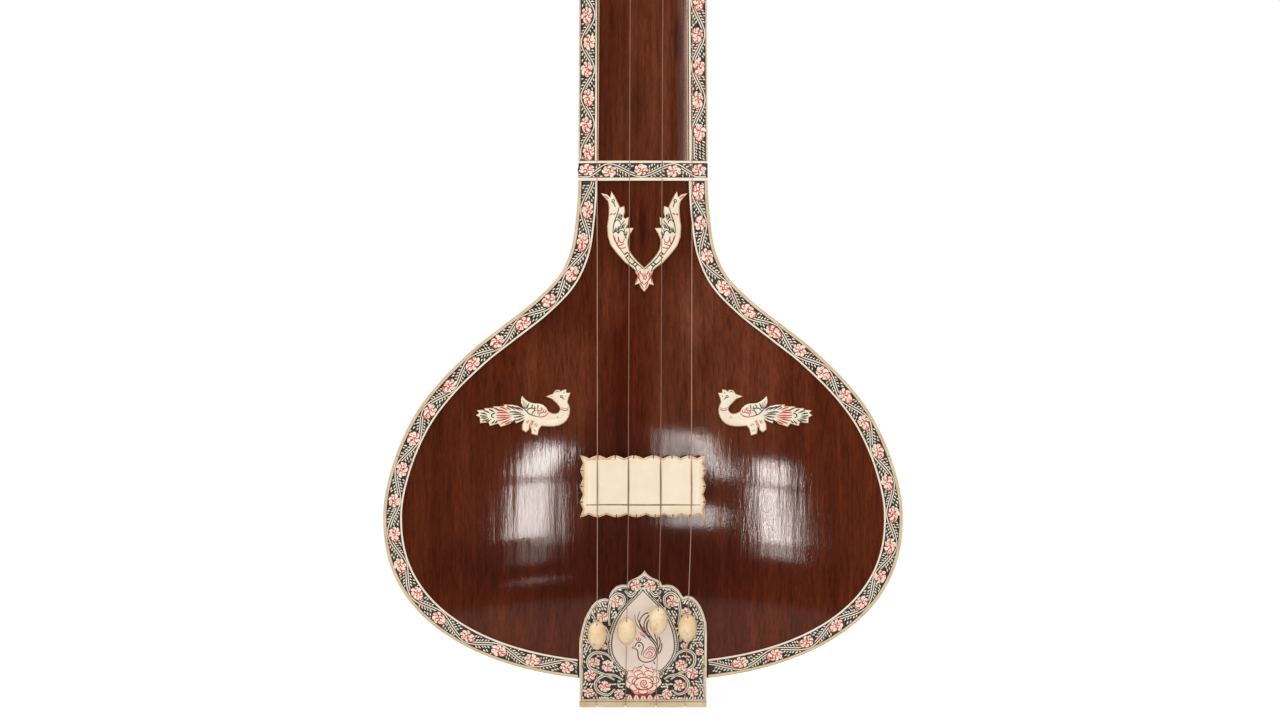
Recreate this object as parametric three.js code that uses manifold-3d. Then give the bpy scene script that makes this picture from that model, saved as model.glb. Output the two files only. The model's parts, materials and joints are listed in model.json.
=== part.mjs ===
import * as THREE from "three";
import { mergeVertices } from "three/addons/utils/BufferGeometryUtils.js";
import Module from "manifold-3d";

const wasm = await Module();
wasm.setup();

const { lerp } = THREE.MathUtils;

// A tanpura: a gourd bowl under a crowned soundboard, a hollow neck, four strings and four pegs.
// Millimetres. +Z runs up the neck, +X is to the right seen from the front, the front faces -Y.
// The origin is the lowest point of the gourd, where it rests on the player's thigh.

// Driving dimensions of the body
const BODY_WIDTH = 404;
const BODY_LENGTH = 389;
const WIDEST_AT = 128;
const DEEPEST_AT = 150;
const GOURD_DEPTH = 285;
const REST_DEPTH = 90;
const SHOULDER_LENGTH = 104.4;
const GOURD_WALL = 7;
const SHOULDER_WALL = 9;
const BOARD_THICKNESS = 4.5;
const BOARD_CROWN = 14;
const CROWN_AT = 150;

// Driving dimensions of the neck and head
const NECK_WIDTH = 100.6;
const HEAD_WIDTH = 92;
const NECK_DEPTH = 62;
const NECK_WALL = 9;
const NECK_CROWN = 3;
const BAND_HEIGHT = 15.4;
const SPEAKING_LENGTH = 946.6;
const HEAD_LENGTH = 215;
const HEAD_END_WALL = 12;
const CAP_THICKNESS = 5;
const CAP_OVERHANG = 1.5;
const TENON_LENGTH = 40;

// Bone and celluloid trim
const TRIM_THICKNESS = 1.2;
const BORDER_WIDTH = 14.6;
const RING_WIDTH = 5;
const RING_THICKNESS = 1.5;
const RING_SET_BACK = 0.36;
const PEACOCK_LENGTH = 73;
const PEACOCK_INSET = 82.5;
const PEACOCK_HEIGHT = 209;
const BIRDS_SIZE = 78;
const BIRDS_DROP = 47;

// Bridge
const BRIDGE_AT = 153.4;
const BRIDGE_WIDTH = 95.8;
const BRIDGE_LENGTH = 47;
const BRIDGE_HEIGHT = 38;
const BRIDGE_PLATE = 7;
const BRIDGE_LOBE_RISE = 2;
const BASE_INSET = 4;
const FOOT_WIDTH = 24;
const FOOT_HEIGHT = 17;

// Nut and string guide
const NUT_HEIGHT = 12;
const NUT_THICKNESS = 6;
const NUT_INSET = 5;
const GUIDE_OFFSET = 18;
const GUIDE_HOLE_DROP = 4;
const GUIDE_HOLE_RADIUS = 1.2;

// Tail
const FACING_WIDTH = 99;
const FACING_TOP = 86.6;
const FACING_THICKNESS = 3;
const TAIL_DROP = 16.3;
const TAIL_DEPTH = 46;
const TAIL_EDGE = 4;
const GROOVE_DEPTH = 1.6;
const PIN_RADIUS = 1.5;
const PIN_HEAD_RADIUS = 2.6;
const PIN_DEPTH = 9;
const PIN_LENGTH = 5;
const NAIL_RADIUS = 0.8;
const NAIL_HEAD_RADIUS = 1.5;
const NAIL_HEAD_HEIGHT = 0.8;
const NAIL_LENGTH = 5.5;
const NAIL_INSET = 3;
const NAIL_HEIGHT = 12;
const INNER_BLOCK_WIDTH = 90;
const INNER_BLOCK_HEIGHT = 34;
const INNER_BLOCK_DEPTH = 40;

// Strings and tuning beads
const STRING_RADIUS = 0.28;
const STRING_SPREAD = 74;
const BEAD_LENGTH = 23;
const BEAD_RADIUS = 7.3;
const BEAD_AT = [37.1, 40.1, 48.6, 42.9];

// Pegs
const PEG_RADIUS = 5;
const PEG_SEAT = 5;
const PEG_STAND_OFF = 2;
const WINDING_LENGTH = 11;
const WINDING_THICKNESS = 1.2;
const KNOB_RADIUS = 17;
const KNOB_LENGTH = 44;
const FINIAL_RADIUS = 5;
const FINIAL_LENGTH = 9;
const FRONT_PEG_HEIGHTS = [52, 106];
const SIDE_PEG_HEIGHTS = [80, 134];
const SIDE_PEG_DEPTH = 16;

// Clearances and cuts
const GAP = 0.3;
const PEG_CLEARANCE = 0.4;
const BORDER_CLEARANCE = 1.2;
const SAME_PLACE = 0.001;
const OVERRUN = 6;

// Facets of the curved forms
const ROUND_ROWS = 10;
const UPPER_ROWS = 12;
const AROUND = 20;
const BOARD_COLUMNS = 10;
const PEG_SIDES = 16;
const STRING_SIDES = 8;
const PIN_SIDES = 12;
const BEAD_SIDES = 16;
const NECK_ROWS = 6;
const BLOCK_ROWS = 4;
const BAR_COLUMNS = 8;
const FACING_COLUMNS = 6;
const LONG_EDGE_LOBES = 7;
const SHORT_EDGE_LOBES = 3;

// Roundness of the outline and of the sections: 2 is an ellipse, more is squarer.
const OUTLINE_POWER = 2.3;
const SECTION_POWER = 2.25;

// How the outline narrows from the widest place (0) to the neck joint (1).
const SHOULDER_SHARES = [
  [0, 1], [0.143, 0.957], [0.286, 0.854], [0.393, 0.722], [0.5, 0.535], [0.571, 0.38],
  [0.643, 0.222], [0.714, 0.103], [0.786, 0.042], [0.857, 0.018], [1, 0],
];
// How the back comes forward from the deepest place (0) to the neck (1).
const BACK_SHARES = [
  [0, 1], [0.16, 0.965], [0.32, 0.86], [0.46, 0.7], [0.58, 0.5], [0.69, 0.29],
  [0.8, 0.12], [0.9, 0.03], [1, 0],
];
// Half width of the tail facing, from its foot (0) to its tip (1), lobe above lobe.
const FACING_SHARES = [
  [0, 1], [0.158, 1], [0.3, 1], [0.443, 1], [0.553, 0.992], [0.641, 0.964], [0.715, 0.903], [0.767, 0.812],
  [0.792, 0.707], [0.798, 0.626], [0.8105, 0.602], [0.8435, 0.556], [0.8776, 0.465], [0.889, 0.364],
  [0.891, 0.283], [0.895, 0.259], [0.932, 0.176], [0.965, 0.073], [1, 0],
];
// Where each string crosses, as a share of the spread from the centre line.
const BRIDGE_STRING_SHARES = [-0.469, -0.151, 0.182, 0.497];
const NUT_STRING_SHARES = [-0.49, -0.101, 0.243, 0.534];
const TAIL_STRING_SHARES = [-0.486, -0.184, 0.137, 0.439];
// How far up from the guide to its peg an outer string turns over the head's edge.
const CORNER_SHARE = 0.6;
// Place along one lobe of the bridge's edge, and how far it stands out there.
const LOBE_SHARES = [[0, 0], [0.2, 0.8], [0.5, 1], [0.8, 0.8]];
// Spine points (across, up) and half widths of the peacock, from tail tip to beak.
const PEACOCK_SHARES = [
  [-0.495, -0.043, 0.01], [-0.4, -0.03, 0.065], [-0.27, -0.02, 0.09], [-0.13, -0.03, 0.055],
  [0, -0.055, 0.07], [0.14, -0.095, 0.095], [0.28, -0.085, 0.09], [0.4, -0.02, 0.065],
  [0.45, 0.06, 0.042], [0.43, 0.14, 0.04], [0.36, 0.175, 0.042], [0.26, 0.165, 0.006],
];
// Spine points and half widths of one bird of the twin-bird ornament, from beak to rose.
const BIRD_SHARES = [
  [-0.43, 0.475, 0.008], [-0.36, 0.45, 0.035], [-0.375, 0.34, 0.035], [-0.325, 0.2, 0.075],
  [-0.255, 0.06, 0.08], [-0.185, -0.1, 0.055], [-0.105, -0.26, 0.035], [0, -0.39, 0.09],
];
// Radius and place along the bead, from its foot to its tip.
const BEAD_SHARES = [
  [0.2, 0], [0.5, 0.1], [0.76, 0.22], [0.95, 0.38], [1, 0.54], [0.9, 0.76], [0.62, 0.9], [0.24, 1],
];
// Radius (share of the knob) and place along the knob, from its collar to its end.
const KNOB_SHARES = [
  [0.47, 0], [0.52, 0.06], [0.4, 0.12], [0.36, 0.2], [0.62, 0.3], [0.92, 0.42], [1, 0.56],
  [0.93, 0.72], [0.66, 0.88], [0.3, 1],
];
const FINIAL_SHARES = [[0.6, 0], [0.95, 0.25], [1, 0.5], [0.75, 0.8], [0.35, 1]];

// Places that follow from the driving dimensions
const rimY = -REST_DEPTH;
const neckStart = BODY_LENGTH + BAND_HEIGHT;
const gourdTop = neckStart - SHOULDER_LENGTH;
const jointLine = BODY_LENGTH + BAND_HEIGHT / 2;
const nutAt = BRIDGE_AT + SPEAKING_LENGTH;
const guideAt = nutAt + GUIDE_OFFSET;
const headTop = nutAt + HEAD_LENGTH;
const headBandAt = nutAt - NUT_THICKNESS - BAND_HEIGHT;
const edgeBottom = -TAIL_DROP - GAP - TAIL_EDGE;
const grooveZ = edgeBottom + GROOVE_DEPTH - GAP - STRING_RADIUS;
const tailBack = rimY + TAIL_DEPTH;

// Materials
function finish(color, roughness, metalness = 0) {
  return new THREE.MeshStandardMaterial({ color, roughness, metalness });
}
const dark_wood = finish(0x4a1c11, 0.25);
const gourd_skin = finish(0x5a2313, 0.25);
const ivory = finish(0xeadfc4, 0.4);
const inlay = finish(0xe6d6ba, 0.35);
const brass = finish(0xb8893a, 0.3, 1);
const steel = finish(0xb9b9b6, 0.3, 1);

const tanpura = new THREE.Group();

function add(name, geometry, material) {
  const mesh = new THREE.Mesh(geometry, material);
  mesh.name = name;
  tanpura.add(mesh);
  return mesh;
}

// Curves

// A smooth curve y(x) through chosen points, level at both ends.
function smoothCurve(points) {
  const last = points.length - 1;
  const slopes = points.map((point, i) => {
    if (i === 0 || i === last) return 0;
    return (points[i + 1][1] - points[i - 1][1]) / (points[i + 1][0] - points[i - 1][0]);
  });
  return (x) => {
    let i = 0;
    while (i < last - 1 && x > points[i + 1][0]) i += 1;
    const span = points[i + 1][0] - points[i][0];
    const t = (x - points[i][0]) / span;
    const rise = t * t * (3 - 2 * t);
    const leaving = t * (1 - t) * (1 - t) * slopes[i] * span;
    const arriving = t * t * (1 - t) * slopes[i + 1] * span;
    return lerp(points[i][1], points[i + 1][1], rise) + leaving - arriving;
  };
}

// What is left of the full width at a share of the way to the end of a rounded form.
function roundShare(share) {
  return Math.pow(Math.max(0, 1 - Math.pow(share, OUTLINE_POWER)), 1 / OUTLINE_POWER);
}

const shoulderCurve = smoothCurve(SHOULDER_SHARES);
const backCurve = smoothCurve(BACK_SHARES);

// Half width of body and neck at a height, with the whole form grown by some thickness.
function halfWidth(z, grow = 0) {
  const wide = BODY_WIDTH / 2 + grow;
  const narrow = NECK_WIDTH / 2 + grow;
  if (z >= BODY_LENGTH) {
    return lerp(narrow, HEAD_WIDTH / 2 + grow, (z - BODY_LENGTH) / (headTop - BODY_LENGTH));
  }
  if (z >= WIDEST_AT) {
    return lerp(narrow, wide, shoulderCurve((z - WIDEST_AT) / (BODY_LENGTH - WIDEST_AT)));
  }
  return wide * roundShare((WIDEST_AT - z) / (WIDEST_AT + grow));
}

// Depth of the back behind the rim plane at a height.
function backDepth(z, grow = 0) {
  const deep = GOURD_DEPTH + grow;
  const shallow = NECK_DEPTH + grow;
  if (z >= neckStart) return shallow;
  if (z >= DEEPEST_AT) {
    return lerp(shallow, deep, backCurve((z - DEEPEST_AT) / (neckStart - DEEPEST_AT)));
  }
  return lerp(REST_DEPTH + grow, deep, roundShare((DEEPEST_AT - z) / (DEEPEST_AT + grow)));
}

// How far the middle of the front stands proud of its edges at a height.
function crownAt(z) {
  if (z >= BODY_LENGTH) return NECK_CROWN;
  if (z >= CROWN_AT) {
    const share = (z - CROWN_AT) / (BODY_LENGTH - CROWN_AT);
    return lerp(NECK_CROWN, BOARD_CROWN, (1 + Math.cos(Math.PI * share)) / 2);
  }
  const share = (CROWN_AT - z) / CROWN_AT;
  return BOARD_CROWN * (1 - share * share);
}

// Front surface of the soundboard and of the neck's face plate.
function frontY(x, z) {
  const wide = halfWidth(z);
  const share = wide > 0 ? Math.min(1, Math.abs(x) / wide) : 1;
  return rimY - GAP - BOARD_THICKNESS - crownAt(z) * (1 - share * share);
}

// Front surface of the tail facing, which runs straight across.
function facingY(z) {
  return rimY - GAP - BOARD_THICKNESS - crownAt(z) - GAP - FACING_THICKNESS;
}

// Closed meshes

function signedVolume(points, faces) {
  const a = new THREE.Vector3();
  let sum = 0;
  for (const [i, j, k] of faces) sum += a.copy(points[i]).cross(points[j]).dot(points[k]);
  return sum;
}

// A closed geometry from triangles that share corners by place, with its faces pointing out.
function closedGeometry(corners, faces) {
  const raw = new THREE.BufferGeometry();
  raw.setAttribute("position", new THREE.Float32BufferAttribute(corners.flatMap((p) => p.toArray()), 3));
  raw.setIndex(faces.flat());
  return tidy(raw);
}

// Merges corners that lie together, drops the triangles that this empties and turns the rest out.
function tidy(geometry) {
  geometry.deleteAttribute("normal");
  geometry.deleteAttribute("uv");
  const merged = mergeVertices(geometry, SAME_PLACE);
  const place = merged.attributes.position;
  const points = [];
  for (let i = 0; i < place.count; i += 1) points.push(new THREE.Vector3().fromBufferAttribute(place, i));
  const index = merged.index.array;
  const faces = [];
  for (let i = 0; i < index.length; i += 3) {
    const [a, b, c] = [index[i], index[i + 1], index[i + 2]];
    if (a !== b && b !== c && c !== a) faces.push([a, b, c]);
  }
  if (signedVolume(points, faces) < 0) faces.forEach((face) => face.reverse());
  merged.setIndex(faces.flat());
  return merged;
}

// A solid between loops of equal length, closed by a fan at each end.
function loft(loops) {
  const count = loops[0].length;
  const faces = [];
  for (let row = 0; row < loops.length - 1; row += 1) {
    for (let i = 0; i < count; i += 1) {
      const a = row * count + i;
      const b = row * count + ((i + 1) % count);
      faces.push([a, b, b + count], [a, b + count, a + count]);
    }
  }
  const end = (loops.length - 1) * count;
  for (let i = 1; i < count - 1; i += 1) {
    faces.push([0, i + 1, i]);
    faces.push([end, end + i, end + i + 1]);
  }
  return closedGeometry(loops.flat(), faces);
}

// A plate between a front grid and a back grid of points with the same rows and columns.
function plate(front, back) {
  const rows = front.length;
  const columns = front[0].length;
  const offset = rows * columns;
  const at = (row, column) => row * columns + column;
  const faces = [];
  const quad = (a, b, c, d) => faces.push([a, b, c], [a, c, d]);
  for (let i = 0; i < rows - 1; i += 1) {
    for (let j = 0; j < columns - 1; j += 1) {
      const [a, b, c, d] = [at(i, j), at(i, j + 1), at(i + 1, j + 1), at(i + 1, j)];
      quad(a, b, c, d);
      quad(offset + d, offset + c, offset + b, offset + a);
    }
  }
  const wall = (a, b) => quad(b, a, offset + a, offset + b);
  for (let j = 0; j < columns - 1; j += 1) {
    wall(at(0, j), at(0, j + 1));
    wall(at(rows - 1, j + 1), at(rows - 1, j));
  }
  for (let i = 0; i < rows - 1; i += 1) {
    wall(at(i + 1, 0), at(i, 0));
    wall(at(i, columns - 1), at(i + 1, columns - 1));
  }
  return closedGeometry([...front.flat(), ...back.flat()], faces);
}

// A plate of even thickness that lies on the front surface over a grid of (x, z) places.
function layOnFront(places, thickness, surface = frontY, lift = GAP) {
  const grid = (height) => places.map((row) => row.map(
    ([x, z]) => new THREE.Vector3(x, surface(x, z) - height, z),
  ));
  return plate(grid(lift + thickness), grid(lift));
}

function toSolid(geometry) {
  const merged = tidy(geometry);
  return new wasm.Manifold(new wasm.Mesh({
    numProp: 3,
    vertProperties: new Float32Array(merged.attributes.position.array),
    triVerts: new Uint32Array(merged.index.array),
  }));
}

function toGeometry(solid) {
  const mesh = solid.getMesh();
  const geometry = new THREE.BufferGeometry();
  geometry.setAttribute("position", new THREE.BufferAttribute(mesh.vertProperties, 3));
  geometry.setIndex(new THREE.BufferAttribute(mesh.triVerts, 1));
  return geometry;
}

// Cuts each tool from a body.
function cut(geometry, tools) {
  return toGeometry(tools.reduce((solid, tool) => solid.subtract(toSolid(tool)), toSolid(geometry)));
}

// A box between two corners.
function block(low, high) {
  const size = new THREE.Vector3().subVectors(high, low);
  const middle = new THREE.Vector3().addVectors(low, high).multiplyScalar(1 / 2);
  return new THREE.BoxGeometry(size.x, size.y, size.z).translate(middle.x, middle.y, middle.z);
}

// A straight round bar from one point to another.
function bar(radius, from, to, sides = PEG_SIDES) {
  const along = new THREE.Vector3().subVectors(to, from);
  const geometry = new THREE.CylinderGeometry(radius, radius, along.length(), sides);
  const turn = new THREE.Quaternion().setFromUnitVectors(
    new THREE.Vector3(0, 1, 0),
    along.clone().normalize(),
  );
  const middle = new THREE.Vector3().addVectors(from, to).multiplyScalar(1 / 2);
  return geometry.applyQuaternion(turn).translate(middle.x, middle.y, middle.z);
}

// A round piece about +Z from (radius, height) points.
function turned(profile, sides = PEG_SIDES) {
  const points = profile.map(([radius, height]) => new THREE.Vector2(radius, height));
  return tidy(new THREE.LatheGeometry(points, sides).rotateX(Math.PI / 2));
}

// Places a mesh built about +Z at a point, with its +Z turned to a direction.
function stand(mesh, place, direction) {
  mesh.position.copy(place);
  mesh.quaternion.setFromUnitVectors(new THREE.Vector3(0, 0, 1), direction.clone().normalize());
  return mesh;
}

// Body and neck forms

// Heights of the rows of a body form, closest together at its round bottom.
function bodyRows(bottom, top) {
  const rows = [];
  for (let i = 0; i < ROUND_ROWS; i += 1) {
    const turn = (Math.PI / 2) * (1 - i / ROUND_ROWS);
    rows.push(WIDEST_AT - (WIDEST_AT - bottom) * Math.pow(Math.sin(turn), 2 / OUTLINE_POWER));
  }
  for (let i = 0; i <= UPPER_ROWS; i += 1) rows.push(lerp(WIDEST_AT, top, i / UPPER_ROWS));
  return rows;
}

function evenRows(bottom, top, count) {
  return Array.from({ length: count + 1 }, (_, i) => lerp(bottom, top, i / count));
}

// The round section of the back at a height, closed by a straight front.
function sectionLoop(z, grow, front) {
  const wide = halfWidth(z, grow);
  const deep = backDepth(z, grow);
  const loop = [new THREE.Vector3(wide, rimY - front, z)];
  for (let i = 0; i <= AROUND; i += 1) {
    const turn = (Math.PI * i) / AROUND;
    const across = Math.sign(Math.cos(turn)) * Math.pow(Math.abs(Math.cos(turn)), 2 / SECTION_POWER);
    const back = Math.pow(Math.abs(Math.sin(turn)), 2 / SECTION_POWER);
    loop.push(new THREE.Vector3(wide * across, rimY + deep * back, z));
  }
  loop.push(new THREE.Vector3(-wide, rimY - front, z));
  return loop;
}

function form(grow, rows, front) {
  return loft(rows.map((z) => sectionLoop(z, grow, front)));
}

function makeGourd() {
  const outer = form(0, bodyRows(0, gourdTop), 0);
  const hollow = form(-GOURD_WALL, bodyRows(GOURD_WALL, gourdTop + OVERRUN), OVERRUN);
  add("gourd_shell", cut(outer, [hollow]), gourd_skin);
}

function makeShoulder() {
  const bottom = gourdTop + GAP;
  const outer = form(0, evenRows(bottom, neckStart - GAP, ROUND_ROWS), 0);
  const hollow = form(-SHOULDER_WALL, evenRows(bottom - OVERRUN, neckStart + OVERRUN, ROUND_ROWS), OVERRUN);
  add("shoulder", cut(outer, [hollow]), dark_wood);
}

function makeTenon() {
  const grow = -Math.max(SHOULDER_WALL, NECK_WALL) - GAP;
  const rows = evenRows(neckStart - TENON_LENGTH / 2, neckStart + TENON_LENGTH / 2, BLOCK_ROWS);
  const loops = rows.map((z) => {
    const deepest = Math.min(backDepth(z, grow), NECK_DEPTH + grow);
    return sectionLoop(z, grow, 0).map(
      (point) => new THREE.Vector3(
        point.x,
        rimY + ((point.y - rimY) * deepest) / backDepth(z, grow),
        point.z,
      ),
    );
  });
  add("neck_tenon", loft(loops), dark_wood);
}

function makeNeckTrough() {
  const outer = form(0, evenRows(neckStart, headTop, NECK_ROWS), 0);
  const hollow = form(
    -NECK_WALL,
    evenRows(neckStart - OVERRUN, headTop - HEAD_END_WALL, NECK_ROWS),
    OVERRUN,
  );
  add("neck_trough", cut(outer, [hollow, ...pegHoles()]), dark_wood);
}

// A plate across the whole front between two heights.
function frontPlate(rows, columns, back) {
  const grid = (surface) => rows.map((z) => evenRows(-1, 1, columns).map((share) => {
    const x = share * halfWidth(z);
    return new THREE.Vector3(x, surface(x, z), z);
  }));
  return plate(grid(frontY), grid(back));
}

function makeSoundboard() {
  const under = (x, z) => frontY(x, z) + BOARD_THICKNESS;
  const board = frontPlate(bodyRows(0, jointLine - GAP), BOARD_COLUMNS, under);
  const holes = nailPlaces().map(({ head, tip }) => bar(NAIL_RADIUS + GAP, head, tip.setY(tip.y + GAP)));
  add("soundboard", cut(board, holes), dark_wood);
}

function makeNeckFace() {
  const under = () => rimY - GAP;
  const face = frontPlate(evenRows(jointLine, headTop, NECK_ROWS), BOARD_COLUMNS, under);
  add("neck_face", cut(face, pegHoles()), dark_wood);
}

function makeHeadCap() {
  const bottom = headTop + GAP;
  const grown = halfWidth(headTop) + CAP_OVERHANG;
  const outline = sectionLoop(headTop, 0, GAP + BOARD_THICKNESS + NECK_CROWN);
  const middle = rimY + (NECK_DEPTH - BOARD_THICKNESS - NECK_CROWN) / 2;
  const scale = grown / halfWidth(headTop);
  const loops = [bottom, bottom + CAP_THICKNESS].map((z) => outline.map(
    (point) => new THREE.Vector3(point.x * scale, middle + (point.y - middle) * scale, z),
  ));
  add("head_cap", loft(loops), ivory);
}

// A thin band round the back. Its ends stop behind the sides, so that it can't be seen from the front.
function makeRing(name, z) {
  const rows = [z, z + RING_WIDTH];
  const outer = form(GAP + RING_THICKNESS, rows, 0);
  const inner = form(GAP, [z - OVERRUN, ...rows, z + RING_WIDTH + OVERRUN], OVERRUN);
  const front = block(
    new THREE.Vector3(-BODY_WIDTH, rimY - OVERRUN, z - OVERRUN),
    new THREE.Vector3(BODY_WIDTH, rimY + RING_SET_BACK * backDepth(z), z + RING_WIDTH + OVERRUN),
  );
  add(name, cut(outer, [inner, front]), inlay);
}

// Trim on the front

// Outline of the right side from a height near the neck down to a place near the tail.
function outlineRun(top, endX) {
  const points = [];
  for (let i = 0; i <= UPPER_ROWS * 2; i += 1) {
    const z = lerp(top, WIDEST_AT, i / (UPPER_ROWS * 2));
    points.push(new THREE.Vector2(halfWidth(z), z));
  }
  const wide = BODY_WIDTH / 2;
  const lastTurn = Math.acos(Math.pow(endX / wide, OUTLINE_POWER / 2));
  for (let i = 1; i <= ROUND_ROWS; i += 1) {
    const turn = (lastTurn * i) / ROUND_ROWS;
    points.push(new THREE.Vector2(
      wide * Math.pow(Math.cos(turn), 2 / OUTLINE_POWER),
      WIDEST_AT * (1 - Math.pow(Math.sin(turn), 2 / OUTLINE_POWER)),
    ));
  }
  return points;
}

function makeBodyBorder(name, side) {
  const run = outlineRun(BODY_LENGTH - GAP, FACING_WIDTH / 2 + BORDER_CLEARANCE);
  const last = run.length - 1;
  const places = run.map((point, i) => {
    const along = new THREE.Vector2().subVectors(run[Math.min(i + 1, last)], run[Math.max(i - 1, 0)]);
    const inward = new THREE.Vector2(along.y, -along.x).normalize();
    if (i === 0) inward.set(-1, 0);
    if (i === last) inward.set(0, 1);
    const inner = point.clone().addScaledVector(inward, BORDER_WIDTH);
    return [[side * point.x, point.y], [side * inner.x, inner.y]];
  });
  add(name, layOnFront(places, TRIM_THICKNESS), inlay);
}

function makeNeckBorder(name, side) {
  const rows = evenRows(neckStart + GAP, headBandAt - GAP, NECK_ROWS);
  const places = rows.map((z) => {
    const wide = halfWidth(z);
    return [[side * wide, z], [side * (wide - BORDER_WIDTH), z]];
  });
  add(name, layOnFront(places, TRIM_THICKNESS), inlay);
}

function makeCrossBand(name, bottom) {
  const places = [bottom, bottom + BAND_HEIGHT].map((z) => evenRows(-1, 1, BOARD_COLUMNS).map(
    (share) => [share * halfWidth(z), z],
  ));
  add(name, layOnFront(places, TRIM_THICKNESS), inlay);
}

// A flat figure drawn as a spine with a width at each of its points.
function figure(shares, size, centre, side) {
  const spine = shares.map(([across, up]) => new THREE.Vector2(
    centre.x + side * across * size,
    centre.y + up * size,
  ));
  const last = spine.length - 1;
  const places = spine.map((point, i) => {
    const along = new THREE.Vector2().subVectors(spine[Math.min(i + 1, last)], spine[Math.max(i - 1, 0)]);
    const across = new THREE.Vector2(along.y, -along.x).normalize().multiplyScalar(shares[i][2] * size);
    return [1, -1].map((edge) => [point.x + edge * across.x, point.y + edge * across.y]);
  });
  return layOnFront(places, TRIM_THICKNESS);
}

function makePeacock(name, side) {
  const centre = new THREE.Vector2(side * (halfWidth(PEACOCK_HEIGHT) - PEACOCK_INSET), PEACOCK_HEIGHT);
  add(name, figure(PEACOCK_SHARES, PEACOCK_LENGTH, centre, -side), inlay);
}

function makeTwinBirds() {
  const mirrored = BIRD_SHARES.slice(0, -1).reverse().map(([across, up, half]) => [-across, up, half]);
  const centre = new THREE.Vector2(0, BODY_LENGTH - BIRDS_DROP);
  add("twin_birds", figure([...BIRD_SHARES, ...mirrored], BIRDS_SIZE, centre, 1), inlay);
}

// Bridge

// One edge of the bridge plate as a row of round lobes between two corners.
function lobes(from, to, count) {
  const points = [];
  const along = new THREE.Vector2().subVectors(to, from);
  const outward = new THREE.Vector2(along.y, -along.x).normalize();
  for (let i = 0; i < count; i += 1) {
    for (const [place, rise] of LOBE_SHARES) {
      const point = from.clone().addScaledVector(along, (i + place) / count);
      points.push(point.addScaledVector(outward, rise * BRIDGE_LOBE_RISE));
    }
  }
  return points;
}

function makeBridge() {
  const halfX = BRIDGE_WIDTH / 2 - BRIDGE_LOBE_RISE;
  const halfZ = BRIDGE_LENGTH / 2 - BRIDGE_LOBE_RISE;
  const corner = (x, z) => new THREE.Vector2(x * halfX, z * halfZ);
  const corners = [corner(-1, -1), corner(1, -1), corner(1, 1), corner(-1, 1)];
  const outline = corners.flatMap((from, i) => {
    const count = i % 2 ? SHORT_EDGE_LOBES : LONG_EDGE_LOBES;
    return lobes(from, corners[(i + 1) % corners.length], count);
  });
  const top = new THREE.ExtrudeGeometry(new THREE.Shape(outline), {
    depth: BRIDGE_PLATE,
    bevelEnabled: false,
  });
  add("bridge_plate", tidy(top.rotateX(Math.PI / 2)), ivory)
    .position.set(0, frontY(0, BRIDGE_AT) - BRIDGE_HEIGHT + BRIDGE_PLATE, BRIDGE_AT);
  makeBridgeBase(halfX - BASE_INSET, halfZ - BASE_INSET);
}

// The base stands on two feet with an arch between them.
function makeBridgeBase(halfX, halfZ) {
  const arch = halfX - FOOT_WIDTH;
  const middle = lerp(arch, halfX, 1 / 2);
  const stations = [-halfX, -middle, ...evenRows(-arch, arch, BAR_COLUMNS), middle, halfX];
  const under = frontY(0, BRIDGE_AT) - BRIDGE_HEIGHT + BRIDGE_PLATE + GAP;
  const foot = (x, z) => {
    const share = Math.min(1, Math.abs(x) / arch);
    return frontY(x, z) - GAP - FOOT_HEIGHT * Math.sqrt(1 - share * share);
  };
  const rows = evenRows(BRIDGE_AT - halfZ, BRIDGE_AT + halfZ, 2);
  const grid = (surface) => rows.map((z) => stations.map((x) => new THREE.Vector3(x, surface(x, z), z)));
  add("bridge_base", plate(grid(() => under), grid(foot)), dark_wood);
}

// Nut and string guide

// A bar across the neck face, with its foot fitted to the crowned face.
function faceBar(centre, height) {
  const half = HEAD_WIDTH / 2 - NUT_INSET;
  const rows = [centre - NUT_THICKNESS / 2, centre + NUT_THICKNESS / 2];
  const stations = evenRows(-half, half, BAR_COLUMNS);
  const top = frontY(0, centre) - height;
  const grid = (surface) => rows.map((z) => stations.map((x) => new THREE.Vector3(x, surface(x, z), z)));
  return plate(grid(() => top), grid((x, z) => frontY(x, z) - GAP));
}

function makeNut() {
  add("nut", faceBar(nutAt, NUT_HEIGHT), ivory);
}

function makeStringGuide() {
  const holes = guideHoles().map((hole) => bar(
    GUIDE_HOLE_RADIUS,
    hole.clone().setZ(guideAt - NUT_THICKNESS / 2 - OVERRUN),
    hole.clone().setZ(guideAt + NUT_THICKNESS / 2 + OVERRUN),
    STRING_SIDES,
  ));
  add("string_guide", cut(faceBar(guideAt, NUT_HEIGHT), holes), ivory);
}

function guideHoles() {
  const y = frontY(0, guideAt) - NUT_HEIGHT + GUIDE_HOLE_DROP;
  return NUT_STRING_SHARES.map((share) => new THREE.Vector3(share * STRING_SPREAD, y, guideAt));
}

// Tail

function makeTailFacing() {
  const rows = FACING_SHARES.map(([up, half]) => {
    const z = lerp(-TAIL_DROP, FACING_TOP, up);
    return evenRows(-1, 1, FACING_COLUMNS).map((share) => [share * half * (FACING_WIDTH / 2), z]);
  });
  const facing = layOnFront(rows, FACING_THICKNESS, (x, z) => facingY(z) + FACING_THICKNESS, 0);
  const holes = nailPlaces().map(({ head, tip }) => bar(NAIL_RADIUS + GAP, head, tip));
  add("tail_facing", cut(facing, holes), inlay);
}

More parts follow.
